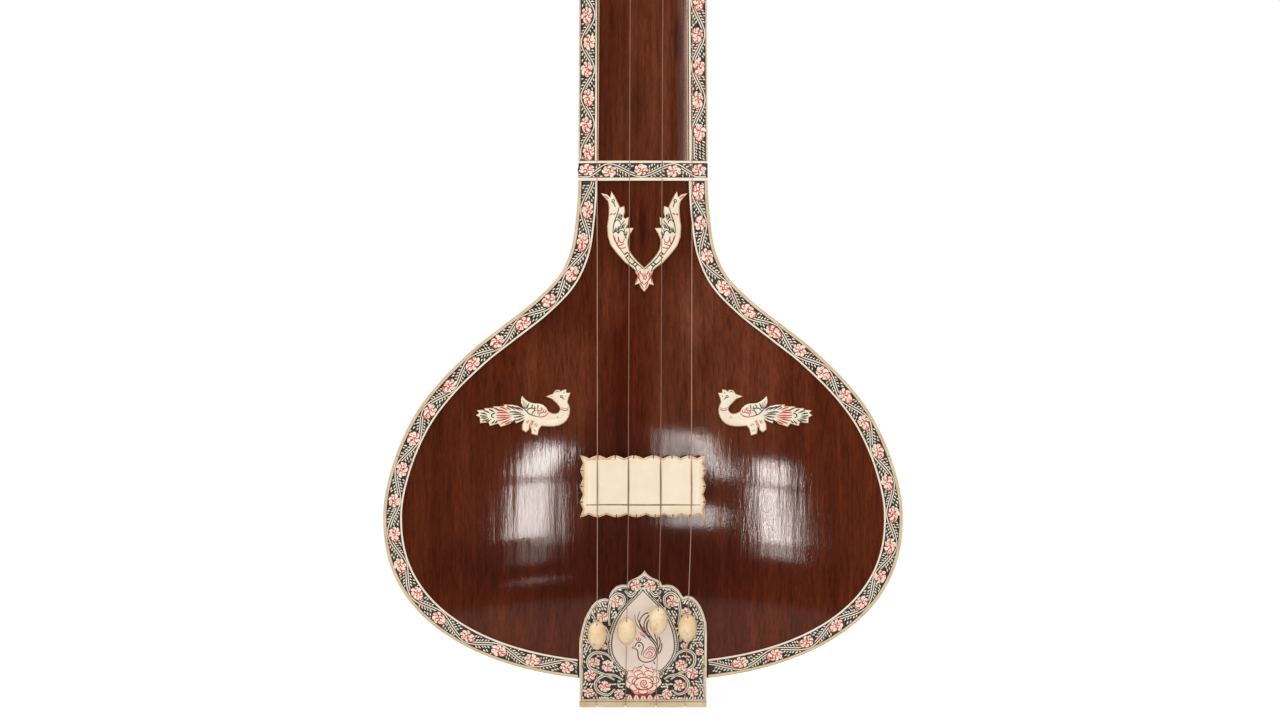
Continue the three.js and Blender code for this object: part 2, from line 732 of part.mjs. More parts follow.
function makeTailBlock() {
  const half = FACING_WIDTH / 2 - GAP;
  const rows = evenRows(-TAIL_DROP, BOARD_THICKNESS, BLOCK_ROWS);
  const grid = (surface) => rows.map((z) => [-half, half].map((x) => new THREE.Vector3(x, surface(z), z)));
  const front = grid((z) => facingY(z) + FACING_THICKNESS + GAP);
  const raw = plate(front, grid(() => tailBack));
  const body = form(GAP, bodyRows(-GAP, gourdTop), BOARD_THICKNESS + OVERRUN);
  const holes = tailPins().map(({ foot, end }) => bar(PIN_RADIUS + GAP, foot, end));
  add("tail_block", cut(raw, [body, ...holes]), dark_wood);
}

function makeTailEdge() {
  const half = FACING_WIDTH / 2;
  const raw = block(
    new THREE.Vector3(-half, facingY(-TAIL_DROP), edgeBottom),
    new THREE.Vector3(half, tailBack, -TAIL_DROP - GAP),
  );
  const width = STRING_RADIUS + GAP;
  const grooves = stringXs(TAIL_STRING_SHARES).map((x) => block(
    new THREE.Vector3(x - width, facingY(-TAIL_DROP) - OVERRUN, edgeBottom - OVERRUN),
    new THREE.Vector3(x + width, tailBack + OVERRUN, edgeBottom + GROOVE_DEPTH),
  ));
  add("tail_edge", cut(raw, grooves), ivory);
}

function stringXs(shares) {
  return shares.map((share) => share * STRING_SPREAD);
}

// Foot, seat and end of each string pin in the back of the tail block.
function tailPins() {
  return stringXs(TAIL_STRING_SHARES).map((x) => {
    const beside = x + PIN_RADIUS + GAP + STRING_RADIUS;
    const z = -TAIL_DROP / 2;
    return {
      foot: new THREE.Vector3(beside, tailBack - PIN_DEPTH, z),
      seat: new THREE.Vector3(beside, tailBack, z),
      end: new THREE.Vector3(beside, tailBack + OVERRUN, z),
    };
  });
}

function makeTailPins() {
  const shank = PIN_DEPTH - GAP;
  const profile = [
    [0, -shank], [PIN_RADIUS, -shank], [PIN_RADIUS, PIN_LENGTH - PIN_RADIUS],
    [PIN_HEAD_RADIUS, PIN_LENGTH - PIN_RADIUS / 2], [PIN_RADIUS, PIN_LENGTH], [0, PIN_LENGTH],
  ];
  tailPins().forEach(({ seat }, i) => {
    stand(add(`tail_pin_${i + 1}`, turned(profile, PIN_SIDES), brass), seat, new THREE.Vector3(0, 1, 0));
  });
}

// Head and tip of each nail through the facing into the soundboard.
function nailPlaces() {
  return [-1, 1].map((side) => {
    const x = side * (FACING_WIDTH / 2 - NAIL_INSET);
    const face = facingY(NAIL_HEIGHT);
    return {
      face: new THREE.Vector3(x, face - GAP, NAIL_HEIGHT),
      head: new THREE.Vector3(x, face - OVERRUN, NAIL_HEIGHT),
      tip: new THREE.Vector3(x, face + NAIL_LENGTH, NAIL_HEIGHT),
    };
  });
}

function makeNails() {
  const profile = [
    [0, -NAIL_LENGTH], [NAIL_RADIUS, -NAIL_LENGTH + NAIL_RADIUS], [NAIL_RADIUS, 0], [NAIL_HEAD_RADIUS, 0],
    [NAIL_HEAD_RADIUS, NAIL_HEAD_HEIGHT / 2], [NAIL_RADIUS, NAIL_HEAD_HEIGHT], [0, NAIL_HEAD_HEIGHT],
  ];
  nailPlaces().forEach(({ face }, i) => {
    const name = ["tail_nail_left", "tail_nail_right"][i];
    stand(add(name, turned(profile, PIN_SIDES), brass), face, new THREE.Vector3(0, -1, 0));
  });
}

function makeInnerBlock() {
  const half = INNER_BLOCK_WIDTH / 2;
  const raw = block(
    new THREE.Vector3(-half, rimY, 0),
    new THREE.Vector3(half, rimY + INNER_BLOCK_DEPTH, INNER_BLOCK_HEIGHT),
  );
  const inside = form(-GOURD_WALL - GAP, bodyRows(GOURD_WALL + GAP, gourdTop), 0);
  add("tail_inner_block", toGeometry(toSolid(raw).intersect(toSolid(inside))), dark_wood);
}

// Pegs

// Each peg: where its axis leaves the neck, which way it points and how far it reaches inside.
function pegs() {
  const strings = guideHoles();
  const reach = GAP + BOARD_THICKNESS + NECK_CROWN + NECK_DEPTH - NECK_WALL + PEG_SEAT;
  const tangent = PEG_RADIUS + WINDING_THICKNESS + 2 * GAP + STRING_RADIUS;
  const front = (i, height, side) => {
    const z = nutAt + height;
    const x = strings[i].x + side * tangent;
    const foot = new THREE.Vector3(x, frontY(0, z), z);
    return { string: i, foot, out: new THREE.Vector3(0, -1, 0), reach };
  };
  const lateral = (i, height, side) => {
    const z = nutAt + height;
    const foot = new THREE.Vector3(side * halfWidth(z), rimY + SIDE_PEG_DEPTH, z);
    const across = 2 * halfWidth(z) - NECK_WALL + PEG_SEAT / 2;
    return { string: i, foot, out: new THREE.Vector3(side, 0, 0), reach: across };
  };
  return [
    lateral(0, SIDE_PEG_HEIGHTS[0], -1),
    front(1, FRONT_PEG_HEIGHTS[0], -1),
    front(2, FRONT_PEG_HEIGHTS[1], 1),
    lateral(3, SIDE_PEG_HEIGHTS[1], 1),
  ];
}

function pegHoles() {
  return pegs().map(({ foot, out, reach }) => bar(
    (PEG_RADIUS + PEG_CLEARANCE) / Math.cos(Math.PI / PEG_SIDES),
    foot.clone().addScaledVector(out, OVERRUN),
    foot.clone().addScaledVector(out, -reach - GAP),
  ));
}

function makePeg({ string, foot, out, reach }) {
  const collar = PEG_STAND_OFF + WINDING_LENGTH + GAP;
  const profile = [
    [0, -reach], [PEG_RADIUS, -reach], [PEG_RADIUS, collar],
    ...KNOB_SHARES.map(([radius, up]) => [radius * KNOB_RADIUS, collar + up * KNOB_LENGTH]),
    [0, collar + KNOB_LENGTH],
  ];
  const name = string + 1;
  stand(add(`peg_${name}`, turned(profile), dark_wood), foot, out);
  makeWinding(name, foot, out);
  makeFinial(name, foot.clone().addScaledVector(out, collar + KNOB_LENGTH + GAP), out);
}

// The turns of string on the peg's shaft.
function makeWinding(name, foot, out) {
  const inner = PEG_RADIUS + GAP;
  const outer = inner + WINDING_THICKNESS;
  const start = PEG_STAND_OFF;
  const end = start + WINDING_LENGTH;
  const profile = [[inner, start], [outer, start], [outer, end], [inner, end], [inner, start]];
  stand(add(`winding_${name}`, turned(profile), steel), foot, out);
}

function makeFinial(name, place, out) {
  const profile = [
    [0, 0],
    ...FINIAL_SHARES.map(([radius, up]) => [
      radius * FINIAL_RADIUS,
      up * FINIAL_LENGTH,
    ]),
    [0, FINIAL_LENGTH],
  ];
  stand(add(`peg_finial_${name}`, turned(profile, BEAD_SIDES), ivory), place, out);
}

// Strings and beads

// A route through chosen points, with the section square to the bend at each of them.
class Route extends THREE.Curve {
  constructor(points) {
    super();
    this.points = points;
  }

  getPoint(t, target = new THREE.Vector3()) {
    const last = this.points.length - 1;
    const place = Math.min(Math.max(t, 0), 1) * last;
    const i = Math.min(Math.floor(place + SAME_PLACE), last - 1);
    return target.lerpVectors(this.points[i], this.points[i + 1], place - i);
  }

  getPointAt(u, target) {
    return this.getPoint(u, target);
  }

  getTangentAt(u, target = new THREE.Vector3()) {
    const last = this.points.length - 1;
    const i = Math.round(u * last);
    const before = this.points[Math.max(i - 1, 0)];
    const here = this.points[i];
    const after = this.points[Math.min(i + 1, last)];
    const arriving = new THREE.Vector3().subVectors(here, before).normalize();
    const leaving = new THREE.Vector3().subVectors(after, here).normalize();
    return target.addVectors(arriving, leaving).normalize();
  }
}

function tube(points, radius) {
  const section = new THREE.Shape(evenRows(0, STRING_SIDES - 1, STRING_SIDES - 1).map((i) => {
    const turn = (2 * Math.PI * i) / STRING_SIDES;
    return new THREE.Vector2(radius * Math.cos(turn), radius * Math.sin(turn));
  }));
  return tidy(new THREE.ExtrudeGeometry(section, {
    steps: points.length - 1,
    extrudePath: new Route(points),
  }));
}

// Where a string from a point meets the round of a winding, seen along the peg.
function windingContact(from, peg) {
  const radius = PEG_RADIUS + GAP + WINDING_THICKNESS + GAP + STRING_RADIUS;
  const middle = PEG_STAND_OFF + WINDING_LENGTH / 2;
  const centre = peg.foot.clone().addScaledVector(peg.out, middle);
  const flat = new THREE.Vector3().subVectors(from, centre);
  flat.addScaledVector(peg.out, -flat.dot(peg.out));
  const distance = flat.length();
  const towards = flat.clone().normalize();
  const sideways = new THREE.Vector3().crossVectors(peg.out, towards);
  if (peg.out.x === 0 ? sideways.x * -peg.foot.x < 0 : sideways.y > 0) sideways.negate();
  const share = radius / distance;
  return centre
    .addScaledVector(towards, radius * share)
    .addScaledVector(sideways, radius * Math.sqrt(1 - share * share));
}

// The string's own places at the tail, where it leaves the edge and where it meets the bridge.
function stringLine(i) {
  const tailX = TAIL_STRING_SHARES[i] * STRING_SPREAD;
  const bridgeX = BRIDGE_STRING_SHARES[i] * STRING_SPREAD;
  const bridgeY = frontY(0, BRIDGE_AT) - BRIDGE_HEIGHT - GAP - STRING_RADIUS;
  const half = BRIDGE_LENGTH / 2;
  return {
    edge: new THREE.Vector3(tailX, facingY(-TAIL_DROP) - GAP - STRING_RADIUS, grooveZ),
    bridgeFoot: new THREE.Vector3(bridgeX, bridgeY, BRIDGE_AT - half),
    bridgeHead: new THREE.Vector3(bridgeX, bridgeY, BRIDGE_AT + half),
  };
}

function makeString(i, peg) {
  const { edge, bridgeFoot, bridgeHead } = stringLine(i);
  const behind = tailBack + GAP + STRING_RADIUS;
  const nutX = NUT_STRING_SHARES[i] * STRING_SPREAD;
  const nutY = frontY(0, nutAt) - NUT_HEIGHT - GAP - STRING_RADIUS;
  const guide = guideHoles()[i];
  const points = [
    new THREE.Vector3(edge.x, behind, -TAIL_DROP / 2 + PIN_RADIUS),
    new THREE.Vector3(edge.x, behind, grooveZ),
    edge,
    bridgeFoot,
    bridgeHead,
    new THREE.Vector3(nutX, nutY, nutAt - NUT_THICKNESS / 2),
    new THREE.Vector3(nutX, nutY, nutAt + NUT_THICKNESS / 2),
    guide.clone().setZ(guideAt - NUT_THICKNESS / 2),
    guide.clone().setZ(guideAt + NUT_THICKNESS / 2),
  ];
  let from = guide;
  if (peg.out.x !== 0) {
    const z = lerp(guideAt, peg.foot.z, CORNER_SHARE);
    const corner = peg.out.x * (halfWidth(z) + GAP + STRING_RADIUS);
    from = new THREE.Vector3(corner, rimY - BOARD_THICKNESS - GAP * 2 - STRING_RADIUS, z);
    points.push(from);
  }
  points.push(windingContact(from, peg));
  add(`string_${i + 1}`, tube(points, STRING_RADIUS), steel);
}

function makeBead(i) {
  const { edge, bridgeFoot } = stringLine(i);
  const along = new THREE.Vector3().subVectors(bridgeFoot, edge);
  const share = (BEAD_AT[i] - edge.z) / along.z;
  const centre = edge.clone().addScaledVector(along, share);
  const bore = STRING_RADIUS + GAP;
  const profile = [
    ...BEAD_SHARES.map(([radius, up]) => [radius * BEAD_RADIUS, (up - 1 / 2) * BEAD_LENGTH]),
    [bore, BEAD_LENGTH / 2],
    [bore, -BEAD_LENGTH / 2],
  ];
  profile.push(profile[0]);
  stand(add(`bead_${i + 1}`, turned(profile, BEAD_SIDES), ivory), centre, along);
}

// The whole instrument
makeGourd();
makeShoulder();
makeTenon();
makeNeckTrough();
makeSoundboard();
makeNeckFace();
makeHeadCap();
makeRing("gourd_ring", gourdTop - RING_WIDTH / 2);
makeRing("joint_ring", neckStart - RING_WIDTH / 2);
makeBodyBorder("body_border_left", -1);
makeBodyBorder("body_border_right", 1);
makeNeckBorder("neck_border_left", -1);
makeNeckBorder("neck_border_right", 1);
makeCrossBand("joint_band", BODY_LENGTH);
makeCrossBand("head_band", headBandAt);
makePeacock("peacock_left", -1);
makePeacock("peacock_right", 1);
makeTwinBirds();
makeBridge();
makeNut();
makeStringGuide();
makeTailBlock();
makeTailFacing();
makeTailEdge();
makeTailPins();
makeNails();
makeInnerBlock();
pegs().forEach((peg) => {
  makePeg(peg);
  makeString(peg.string, peg);
  makeBead(peg.string);
});

export default tanpura;
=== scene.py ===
import json
import math

import bmesh
import bpy
import numpy as np
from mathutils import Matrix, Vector


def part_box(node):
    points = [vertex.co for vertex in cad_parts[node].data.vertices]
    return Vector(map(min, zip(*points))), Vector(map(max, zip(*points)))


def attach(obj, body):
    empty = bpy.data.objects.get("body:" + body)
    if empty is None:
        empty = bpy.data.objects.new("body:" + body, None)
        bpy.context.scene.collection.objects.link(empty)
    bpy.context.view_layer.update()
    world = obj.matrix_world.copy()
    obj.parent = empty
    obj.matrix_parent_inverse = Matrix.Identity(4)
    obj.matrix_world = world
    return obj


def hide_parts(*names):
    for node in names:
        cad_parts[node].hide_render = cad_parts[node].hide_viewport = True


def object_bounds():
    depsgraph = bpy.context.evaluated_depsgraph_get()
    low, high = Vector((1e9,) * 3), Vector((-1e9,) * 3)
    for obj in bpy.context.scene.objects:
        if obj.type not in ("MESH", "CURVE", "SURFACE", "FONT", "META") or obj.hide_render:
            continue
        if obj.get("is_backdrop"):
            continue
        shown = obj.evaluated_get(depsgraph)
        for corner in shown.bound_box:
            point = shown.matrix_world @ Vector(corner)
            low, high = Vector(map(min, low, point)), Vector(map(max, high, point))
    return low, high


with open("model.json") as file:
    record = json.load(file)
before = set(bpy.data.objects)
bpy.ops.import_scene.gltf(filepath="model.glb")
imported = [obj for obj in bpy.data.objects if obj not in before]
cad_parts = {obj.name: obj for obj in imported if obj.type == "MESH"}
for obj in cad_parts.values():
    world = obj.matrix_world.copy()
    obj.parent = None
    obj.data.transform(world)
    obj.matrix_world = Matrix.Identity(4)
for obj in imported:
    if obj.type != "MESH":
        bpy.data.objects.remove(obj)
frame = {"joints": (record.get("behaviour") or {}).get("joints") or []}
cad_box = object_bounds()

# Sizes below are in millimetres and turned into metres where a mesh is made.
MM = 0.001
ROOT = "instrument"
SEED = 7
rng = np.random.default_rng(SEED)


def node_box(name):
    low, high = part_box(name)
    return np.array(low) / MM, np.array(high) / MM


# Sizes read from the frame
gourd_low, gourd_high = node_box("gourd_shell")
band_low, band_high = node_box("joint_band")
trough_high = node_box("neck_trough")[1]
facing_low, facing_high = node_box("tail_facing")
bridge_low, bridge_high = node_box("bridge_plate")
base_low, base_high = node_box("bridge_base")
head_band_low, head_band_high = node_box("head_band")
border_low, border_high = node_box("neck_border_right")

BODY_WIDTH = gourd_high[0] - gourd_low[0]
RIM_Y = gourd_low[1]
GOURD_DEPTH = gourd_high[1] - RIM_Y
BODY_LENGTH = band_low[2]
NECK_START = band_high[2]
NECK_DEPTH = trough_high[1] - RIM_Y
HEAD_TOP = trough_high[2]
NECK_WIDTH = band_high[0] - band_low[0]
GOURD_TOP = gourd_high[2]

# Sizes that the frame's boxes don't show
HEAD_WIDTH = 92
REST_DEPTH = 90
WIDEST_AT = 128
DEEPEST_AT = 150
CROWN_AT = 150
BOARD_THICKNESS = 4.5
BOARD_CROWN = 14
NECK_CROWN = 3
GOURD_WALL = 7
SHOULDER_WALL = 9
NECK_WALL = 9
GAP = 0.3
TRIM = 1.2
BORDER_WIDTH = 14.6
FACING_THICKNESS = 3
OUTLINE_POWER = 2.3
SECTION_POWER = 2.25

SHOULDER_SHARES = [
    (0, 1), (0.143, 0.957), (0.286, 0.854), (0.393, 0.722), (0.5, 0.535), (0.571, 0.38),
    (0.643, 0.222), (0.714, 0.103), (0.786, 0.042), (0.857, 0.018), (1, 0),
]
BACK_SHARES = [
    (0, 1), (0.16, 0.965), (0.32, 0.86), (0.46, 0.7), (0.58, 0.5), (0.69, 0.29),
    (0.8, 0.12), (0.9, 0.03), (1, 0),
]


# Forms of the instrument, as in the CAD model

def smooth_curve(points):
    """A smooth curve y(x) through chosen points, level at both ends."""
    x, y = np.array(points, float).T
    slope = np.zeros_like(x)
    slope[1:-1] = (y[2:] - y[:-2]) / (x[2:] - x[:-2])

    def at(value):
        value = np.asarray(value, float)
        i = np.clip(np.searchsorted(x, value, side="right") - 1, 0, len(x) - 2)
        span = x[i + 1] - x[i]
        t = (value - x[i]) / span
        rise = t * t * (3 - 2 * t)
        leaving = t * (1 - t) ** 2 * slope[i] * span
        arriving = t * t * (1 - t) * slope[i + 1] * span
        return y[i] + (y[i + 1] - y[i]) * rise + leaving - arriving

    return at


shoulder_curve = smooth_curve(SHOULDER_SHARES)
back_curve = smooth_curve(BACK_SHARES)


def round_share(share):
    return np.maximum(0, 1 - np.clip(share, 0, 1) ** OUTLINE_POWER) ** (1 / OUTLINE_POWER)


def half_width(z, grow=0.0):
    z = np.asarray(z, float)
    wide = BODY_WIDTH / 2 + grow
    narrow = NECK_WIDTH / 2 + grow
    head = HEAD_WIDTH / 2 + grow
    neck = narrow + (head - narrow) * (z - BODY_LENGTH) / (HEAD_TOP - BODY_LENGTH)
    share = np.clip((z - WIDEST_AT) / (BODY_LENGTH - WIDEST_AT), 0, 1)
    upper = narrow + (wide - narrow) * shoulder_curve(share)
    lower = wide * round_share((WIDEST_AT - z) / (WIDEST_AT + grow))
    return np.where(z >= BODY_LENGTH, neck, np.where(z >= WIDEST_AT, upper, lower))


def back_depth(z, grow=0.0):
    z = np.asarray(z, float)
    deep = GOURD_DEPTH + grow
    shallow = NECK_DEPTH + grow
    share = np.clip((z - DEEPEST_AT) / (NECK_START - DEEPEST_AT), 0, 1)
    upper = shallow + (deep - shallow) * back_curve(share)
    low = REST_DEPTH + grow
    lower = low + (deep - low) * round_share((DEEPEST_AT - z) / (DEEPEST_AT + grow))
    return np.where(z >= NECK_START, shallow, np.where(z >= DEEPEST_AT, upper, lower))


def crown_at(z):
    z = np.asarray(z, float)
    share = np.clip((z - CROWN_AT) / (BODY_LENGTH - CROWN_AT), 0, 1)
    upper = NECK_CROWN + (BOARD_CROWN - NECK_CROWN) * (1 + np.cos(np.pi * share)) / 2
    lower = BOARD_CROWN * (1 - ((CROWN_AT - z) / CROWN_AT) ** 2)
    return np.where(z >= CROWN_AT, upper, lower)


def front_y(x, z):
    """Front surface of the soundboard and the neck's face plate."""
    wide = np.maximum(half_width(z), 1e-6)
    share = np.minimum(1, np.abs(x) / wide)
    return RIM_Y - GAP - BOARD_THICKNESS - crown_at(z) * (1 - share**2)


def facing_y(z):
    """Front surface of the tail facing."""
    return RIM_Y - 2 * GAP - BOARD_THICKNESS - crown_at(z) - FACING_THICKNESS


def section(turn, z, grow=0.0):
    """Points on the round back: turn runs from 0 on the right to 1 on the left."""
    angle = np.pi * turn
    across = np.sign(np.cos(angle)) * np.abs(np.cos(angle)) ** (2 / SECTION_POWER)
    back = np.abs(np.sin(angle)) ** (2 / SECTION_POWER)
    x = half_width(z, grow) * across
    y = RIM_Y + back_depth(z, grow) * back
    return x, y


def body_rows(bottom, top, low_count, high_count):
    """Heights of rows from the round bottom up, closest together at the bottom."""
    turn = np.pi / 2 * (1 - np.arange(low_count) / low_count)
    low = WIDEST_AT - (WIDEST_AT - bottom) * np.sin(turn) ** (2 / OUTLINE_POWER)
    return np.concatenate([low, np.linspace(WIDEST_AT, top, high_count + 1)])


# Making meshes

SMOOTH_ANGLE = 35


def linked(name, mesh, material, smooth_angle=SMOOTH_ANGLE):
    """An object in the scene with smooth shading up to an angle in degrees."""
    shade_smooth(mesh, smooth_angle)
    mesh.materials.append(material)
    thing = bpy.data.objects.new(name, mesh)
    bpy.context.scene.collection.objects.link(thing)
    return thing


def shade_smooth(mesh, angle=SMOOTH_ANGLE):
    mesh.polygons.foreach_set("use_smooth", [True] * len(mesh.polygons))
    mesh.set_sharp_from_angle(angle=math.radians(angle))


def new_object(name, points, faces, material, smooth_angle=SMOOTH_ANGLE, merge=0.0):
    """A mesh object from points in millimetres. Corners nearer than merge become one."""
    mesh = bpy.data.meshes.new(name)
    mesh.from_pydata((np.asarray(points, float) * MM).tolist(), [], faces)
    mesh.update()
    if merge:
        weld(mesh, merge)
    return linked(name, mesh, material, smooth_angle)


def weld(mesh, distance):
    """Merges corners that lie together and drops the faces that this empties."""
    work = bmesh.new()
    work.from_mesh(mesh)
    bmesh.ops.remove_doubles(work, verts=work.verts, dist=distance * MM)
    bmesh.ops.dissolve_degenerate(work, edges=work.edges, dist=distance * MM)
    bmesh.ops.recalc_face_normals(work, faces=work.faces)
    work.to_mesh(mesh)
    work.free()


def grid_faces(rows, columns, start=0, flip=False):
    i, j = np.meshgrid(np.arange(rows - 1), np.arange(columns - 1), indexing="ij")
    a = (start + i * columns + j).ravel()
    quads = np.stack([a, a + 1, a + columns + 1, a + columns], axis=1)
    return (quads[:, ::-1] if flip else quads).tolist()


def tube_faces(rows, sides, ends=True):
    """Faces between closed loops of points, and over both ends."""
    after = [(j + 1) % sides for j in range(sides)]
    faces = [
        [i * sides + j, i * sides + k, (i + 1) * sides + k, (i + 1) * sides + j]
        for i in range(rows - 1) for j, k in enumerate(after)
    ]
    if ends:
        faces += [list(range(sides))[::-1], [(rows - 1) * sides + j for j in range(sides)]]
    return faces


def slab(name, front, back, material, walls="ends sides"):
    """A closed plate between two grids of points with the same rows and columns."""
    rows, columns = front.shape[:2]
    count = rows * columns
    last = (rows - 1) * columns
    faces = grid_faces(rows, columns) + grid_faces(rows, columns, count, flip=True)
    wall = lambda a, b: faces.append([b, a, count + a, count + b])
    for j in range(columns - 1):
        if "ends" in walls:
            wall(j, j + 1)
        wall(last + j + 1, last + j)
    for i in range(rows - 1):
        wall((i + 1) * columns, i * columns)
        wall(i * columns + columns - 1, (i + 1) * columns + columns - 1)
    points = np.concatenate([front.reshape(-1, 3), back.reshape(-1, 3)])
    return new_object(name, points, faces, material, merge=0.01)


def stand_for(thing, slot, *nodes, body=ROOT):
    """The piece replaces CAD nodes and moves with their body."""
    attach(thing, body)
    if nodes:
        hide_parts(*nodes)
    return thing


def on_front(x, z, lift):
    """Points at a height above the front surface."""
    x, z = np.broadcast_arrays(np.asarray(x, float), np.asarray(z, float))
    return np.stack([x, front_y(x, z) - lift, z], axis=-1)


# Materials

def rgba(color):
    return color if isinstance(color, bpy.types.NodeSocket) else (*color[:3], 1)


class Nodes:
    """A short way to write a node material."""

    def __init__(self, name):
        self.material = bpy.data.materials.new(name)
        self.material.use_nodes = True
        self.tree = self.material.node_tree
        self.shader = self.tree.nodes["Principled BSDF"]

    def add(self, kind, inputs=None, **settings):
        node = self.tree.nodes.new(kind)
        for key, value in settings.items():
            setattr(node, key, value)
        for key, value in (inputs or {}).items():
            self.put(value, node.inputs[key])
        return node

    def put(self, value, target):
        """Links another node's output to an input, or sets a plain value on it."""
        if isinstance(value, bpy.types.NodeSocket):
            self.tree.links.new(value, target)
        else:
            target.default_value = value

    def where(self):
        return self.add("ShaderNodeTexCoord").outputs["Object"]

    def vector(self, operation, a, b=(0, 0, 0), output=0):
        return self.add("ShaderNodeVectorMath", {0: a, 1: b}, operation=operation).outputs[output]

    def noise(self, pattern, finer=1.0):
        """Noise from a pattern: its stretch along Z, its scale per metre and its roughness."""
        along, scale, detail, roughness, distortion = pattern
        place = self.add("ShaderNodeMapping", {"Vector": self.where(), "Scale": (1, 1, along)}).outputs[0]
        return self.add("ShaderNodeTexNoise", {
            "Vector": place, "Scale": scale * finer, "Detail": detail, "Roughness": roughness,
            "Distortion": distortion,
        }).outputs["Fac"]

    def ramp(self, value, stops):
        node = self.add("ShaderNodeValToRGB", {"Fac": value})
        while len(node.color_ramp.elements) < len(stops):
            node.color_ramp.elements.new(0.5)
        for element, (place, color) in zip(node.color_ramp.elements, stops):
            element.position = place
            element.color = rgba(color)
        return node.outputs["Color"]

    def mix(self, factor, a, b, blend="MIX"):
        inputs = {0: factor, 6: rgba(a), 7: rgba(b)}
        return self.add("ShaderNodeMix", inputs, data_type="RGBA", blend_type=blend).outputs[2]

    def scaled(self, value, low, high):
        return self.add("ShaderNodeMapRange", {"Value": value, "To Min": low, "To Max": high}).outputs["Result"]

    def fade(self, value, near, far):
        """1 up to near and 0 from far on."""
        return self.add("ShaderNodeMapRange", {
            "Value": value, "From Min": near, "From Max": far, "To Min": 1.0, "To Max": 0.0,
        }, interpolation_type="SMOOTHSTEP").outputs["Result"]

    def bump(self, height, strength, distance, below=None):
        inputs = {"Height": height, "Strength": strength, "Distance": distance * MM}
        if below is not None:
            inputs["Normal"] = below
        return self.add("ShaderNodeBump", inputs).outputs["Normal"]

    def finish(self, color, roughness, normal=None, **constants):
        self.put(rgba(color), self.shader.inputs["Base Color"])
        self.put(roughness, self.shader.inputs["Roughness"])
        if normal is not None:
            self.put(normal, self.shader.inputs["Normal"])
        for key, value in constants.items():
            self.shader.inputs[key.replace("_", " ")].default_value = value
        return self.material


# Noise patterns: stretch along Z, scale per metre, detail, roughness and distortion.
STREAKS = (0.045, 95, 9, 0.68, 0.35)
BROAD_GRAIN = (0.11, 16, 5, 0.55, 0.8)
PORES = (0.05, 420, 4, 0.6, 0)
FLECKS = (0.16, 620, 5, 0.7, 0)
CLOUDS = (0.6, 4.5, 3, 0.5, 0.4)
WAVES = (0.12, 85, 3, 0.5, 0)
BRUSH_STROKES = (0.09, 420, 4, 0.75, 0)
SPECKS = (0.6, 900, 2, 0.6, 0)
BONE_CLOUD = (1, 60, 5, 0.6, 0)
BONE_STAIN = (1, 170, 6, 0.7, 0)
BONE_PORES = (1, 900, 3, 0.6, 0)
INK_WEAR = (1, 260, 5, 0.7, 0)
METAL_GRAIN = (6, 900, 4, 0.6, 0)
FLOOR_GRAIN = (1, 40, 3, 0.6, 0)

# Tones laid over the wood: pattern, whether it gets finer with the grain, share and colours.
WOOD_TONES = [
    (BROAD_GRAIN, True, 0.6, [(0.3, (0.78, 0.72, 0.66)), (0.52, (1, 1, 1)), (0.75, (1.16, 1.1, 1.04))]),
    (CLOUDS, False, 0.8, [(0.32, (0.78, 0.70, 0.62)), (0.68, (1.24, 1.18, 1.1))]),
    (PORES, True, 0.55, [(0.34, (0.42, 0.36, 0.34)), (0.47, (1, 1, 1)), (0.66, (1.18, 1.14, 1.1))]),
    (FLECKS, True, 0.6, [(0.36, (0.58, 0.5, 0.46)), (0.5, (1, 1, 1)), (0.66, (1.3, 1.34, 1.4))]),
]
LACQUER_BUMPS = [(WAVES, 0.09), (BRUSH_STROKES, 0.026), (SPECKS, 0.01)]
LACQUER = dict(Coat_Roughness=0.055, Coat_IOR=1.5, Specular_IOR_Level=0.03)
STAIN_STOPS = [(0.3, (0.72, 0.55, 0.36)), (0.46, (1, 1, 1))]
PATCH_CORE = 0.3
METAL_SHADE = 0.55
METAL_ROUGHNESS = 0.3


def patched(m, color, patches):
    """Soft long patches that tint the colour, carrying tone, painted shade and painted sheen: place across and up, half
    width, half height and tint.
    """
    for x, z, half_x, half_z, tint in patches:
        off = m.vector("SUBTRACT", m.where(), (x * MM, 0, z * MM))
        share = m.vector("MULTIPLY", off, (1 / half_x / MM, 0, 1 / half_z / MM))
        reach = m.vector("LENGTH", share, output="Value")
        color = m.mix(m.fade(reach, PATCH_CORE, 1.0), color, tint, "MULTIPLY")
    return color


def lacquered_wood(name, dark, middle, light, coat=1.0, grain=1.0, skin=1.0, patches=()):
    """Lacquered wood with its grain along Z, brushed with fine upright strokes."""
    m = Nodes(name)
    streaks = m.noise(STREAKS, grain)
    color = m.ramp(streaks, [(0.3, dark), (0.5, middle), (0.7, light)])
    for pattern, follows, share, stops in WOOD_TONES:
        tone = m.ramp(m.noise(pattern, grain if follows else 1), stops)
        color = m.mix(share, color, tone, "MULTIPLY")
    # Patches of tone and of painted sheen, laid over the grain.
    color = patched(m, color, patches)
    normal = None
    for pattern, height in LACQUER_BUMPS:
        normal = m.bump(m.noise(pattern), skin, height, normal)
    m.put(normal, m.shader.inputs["Coat Normal"])
    return m.finish(color, m.scaled(streaks, 0.34, 0.5), m.bump(streaks, 0.2, 0.1), Coat_Weight=coat, **LACQUER)


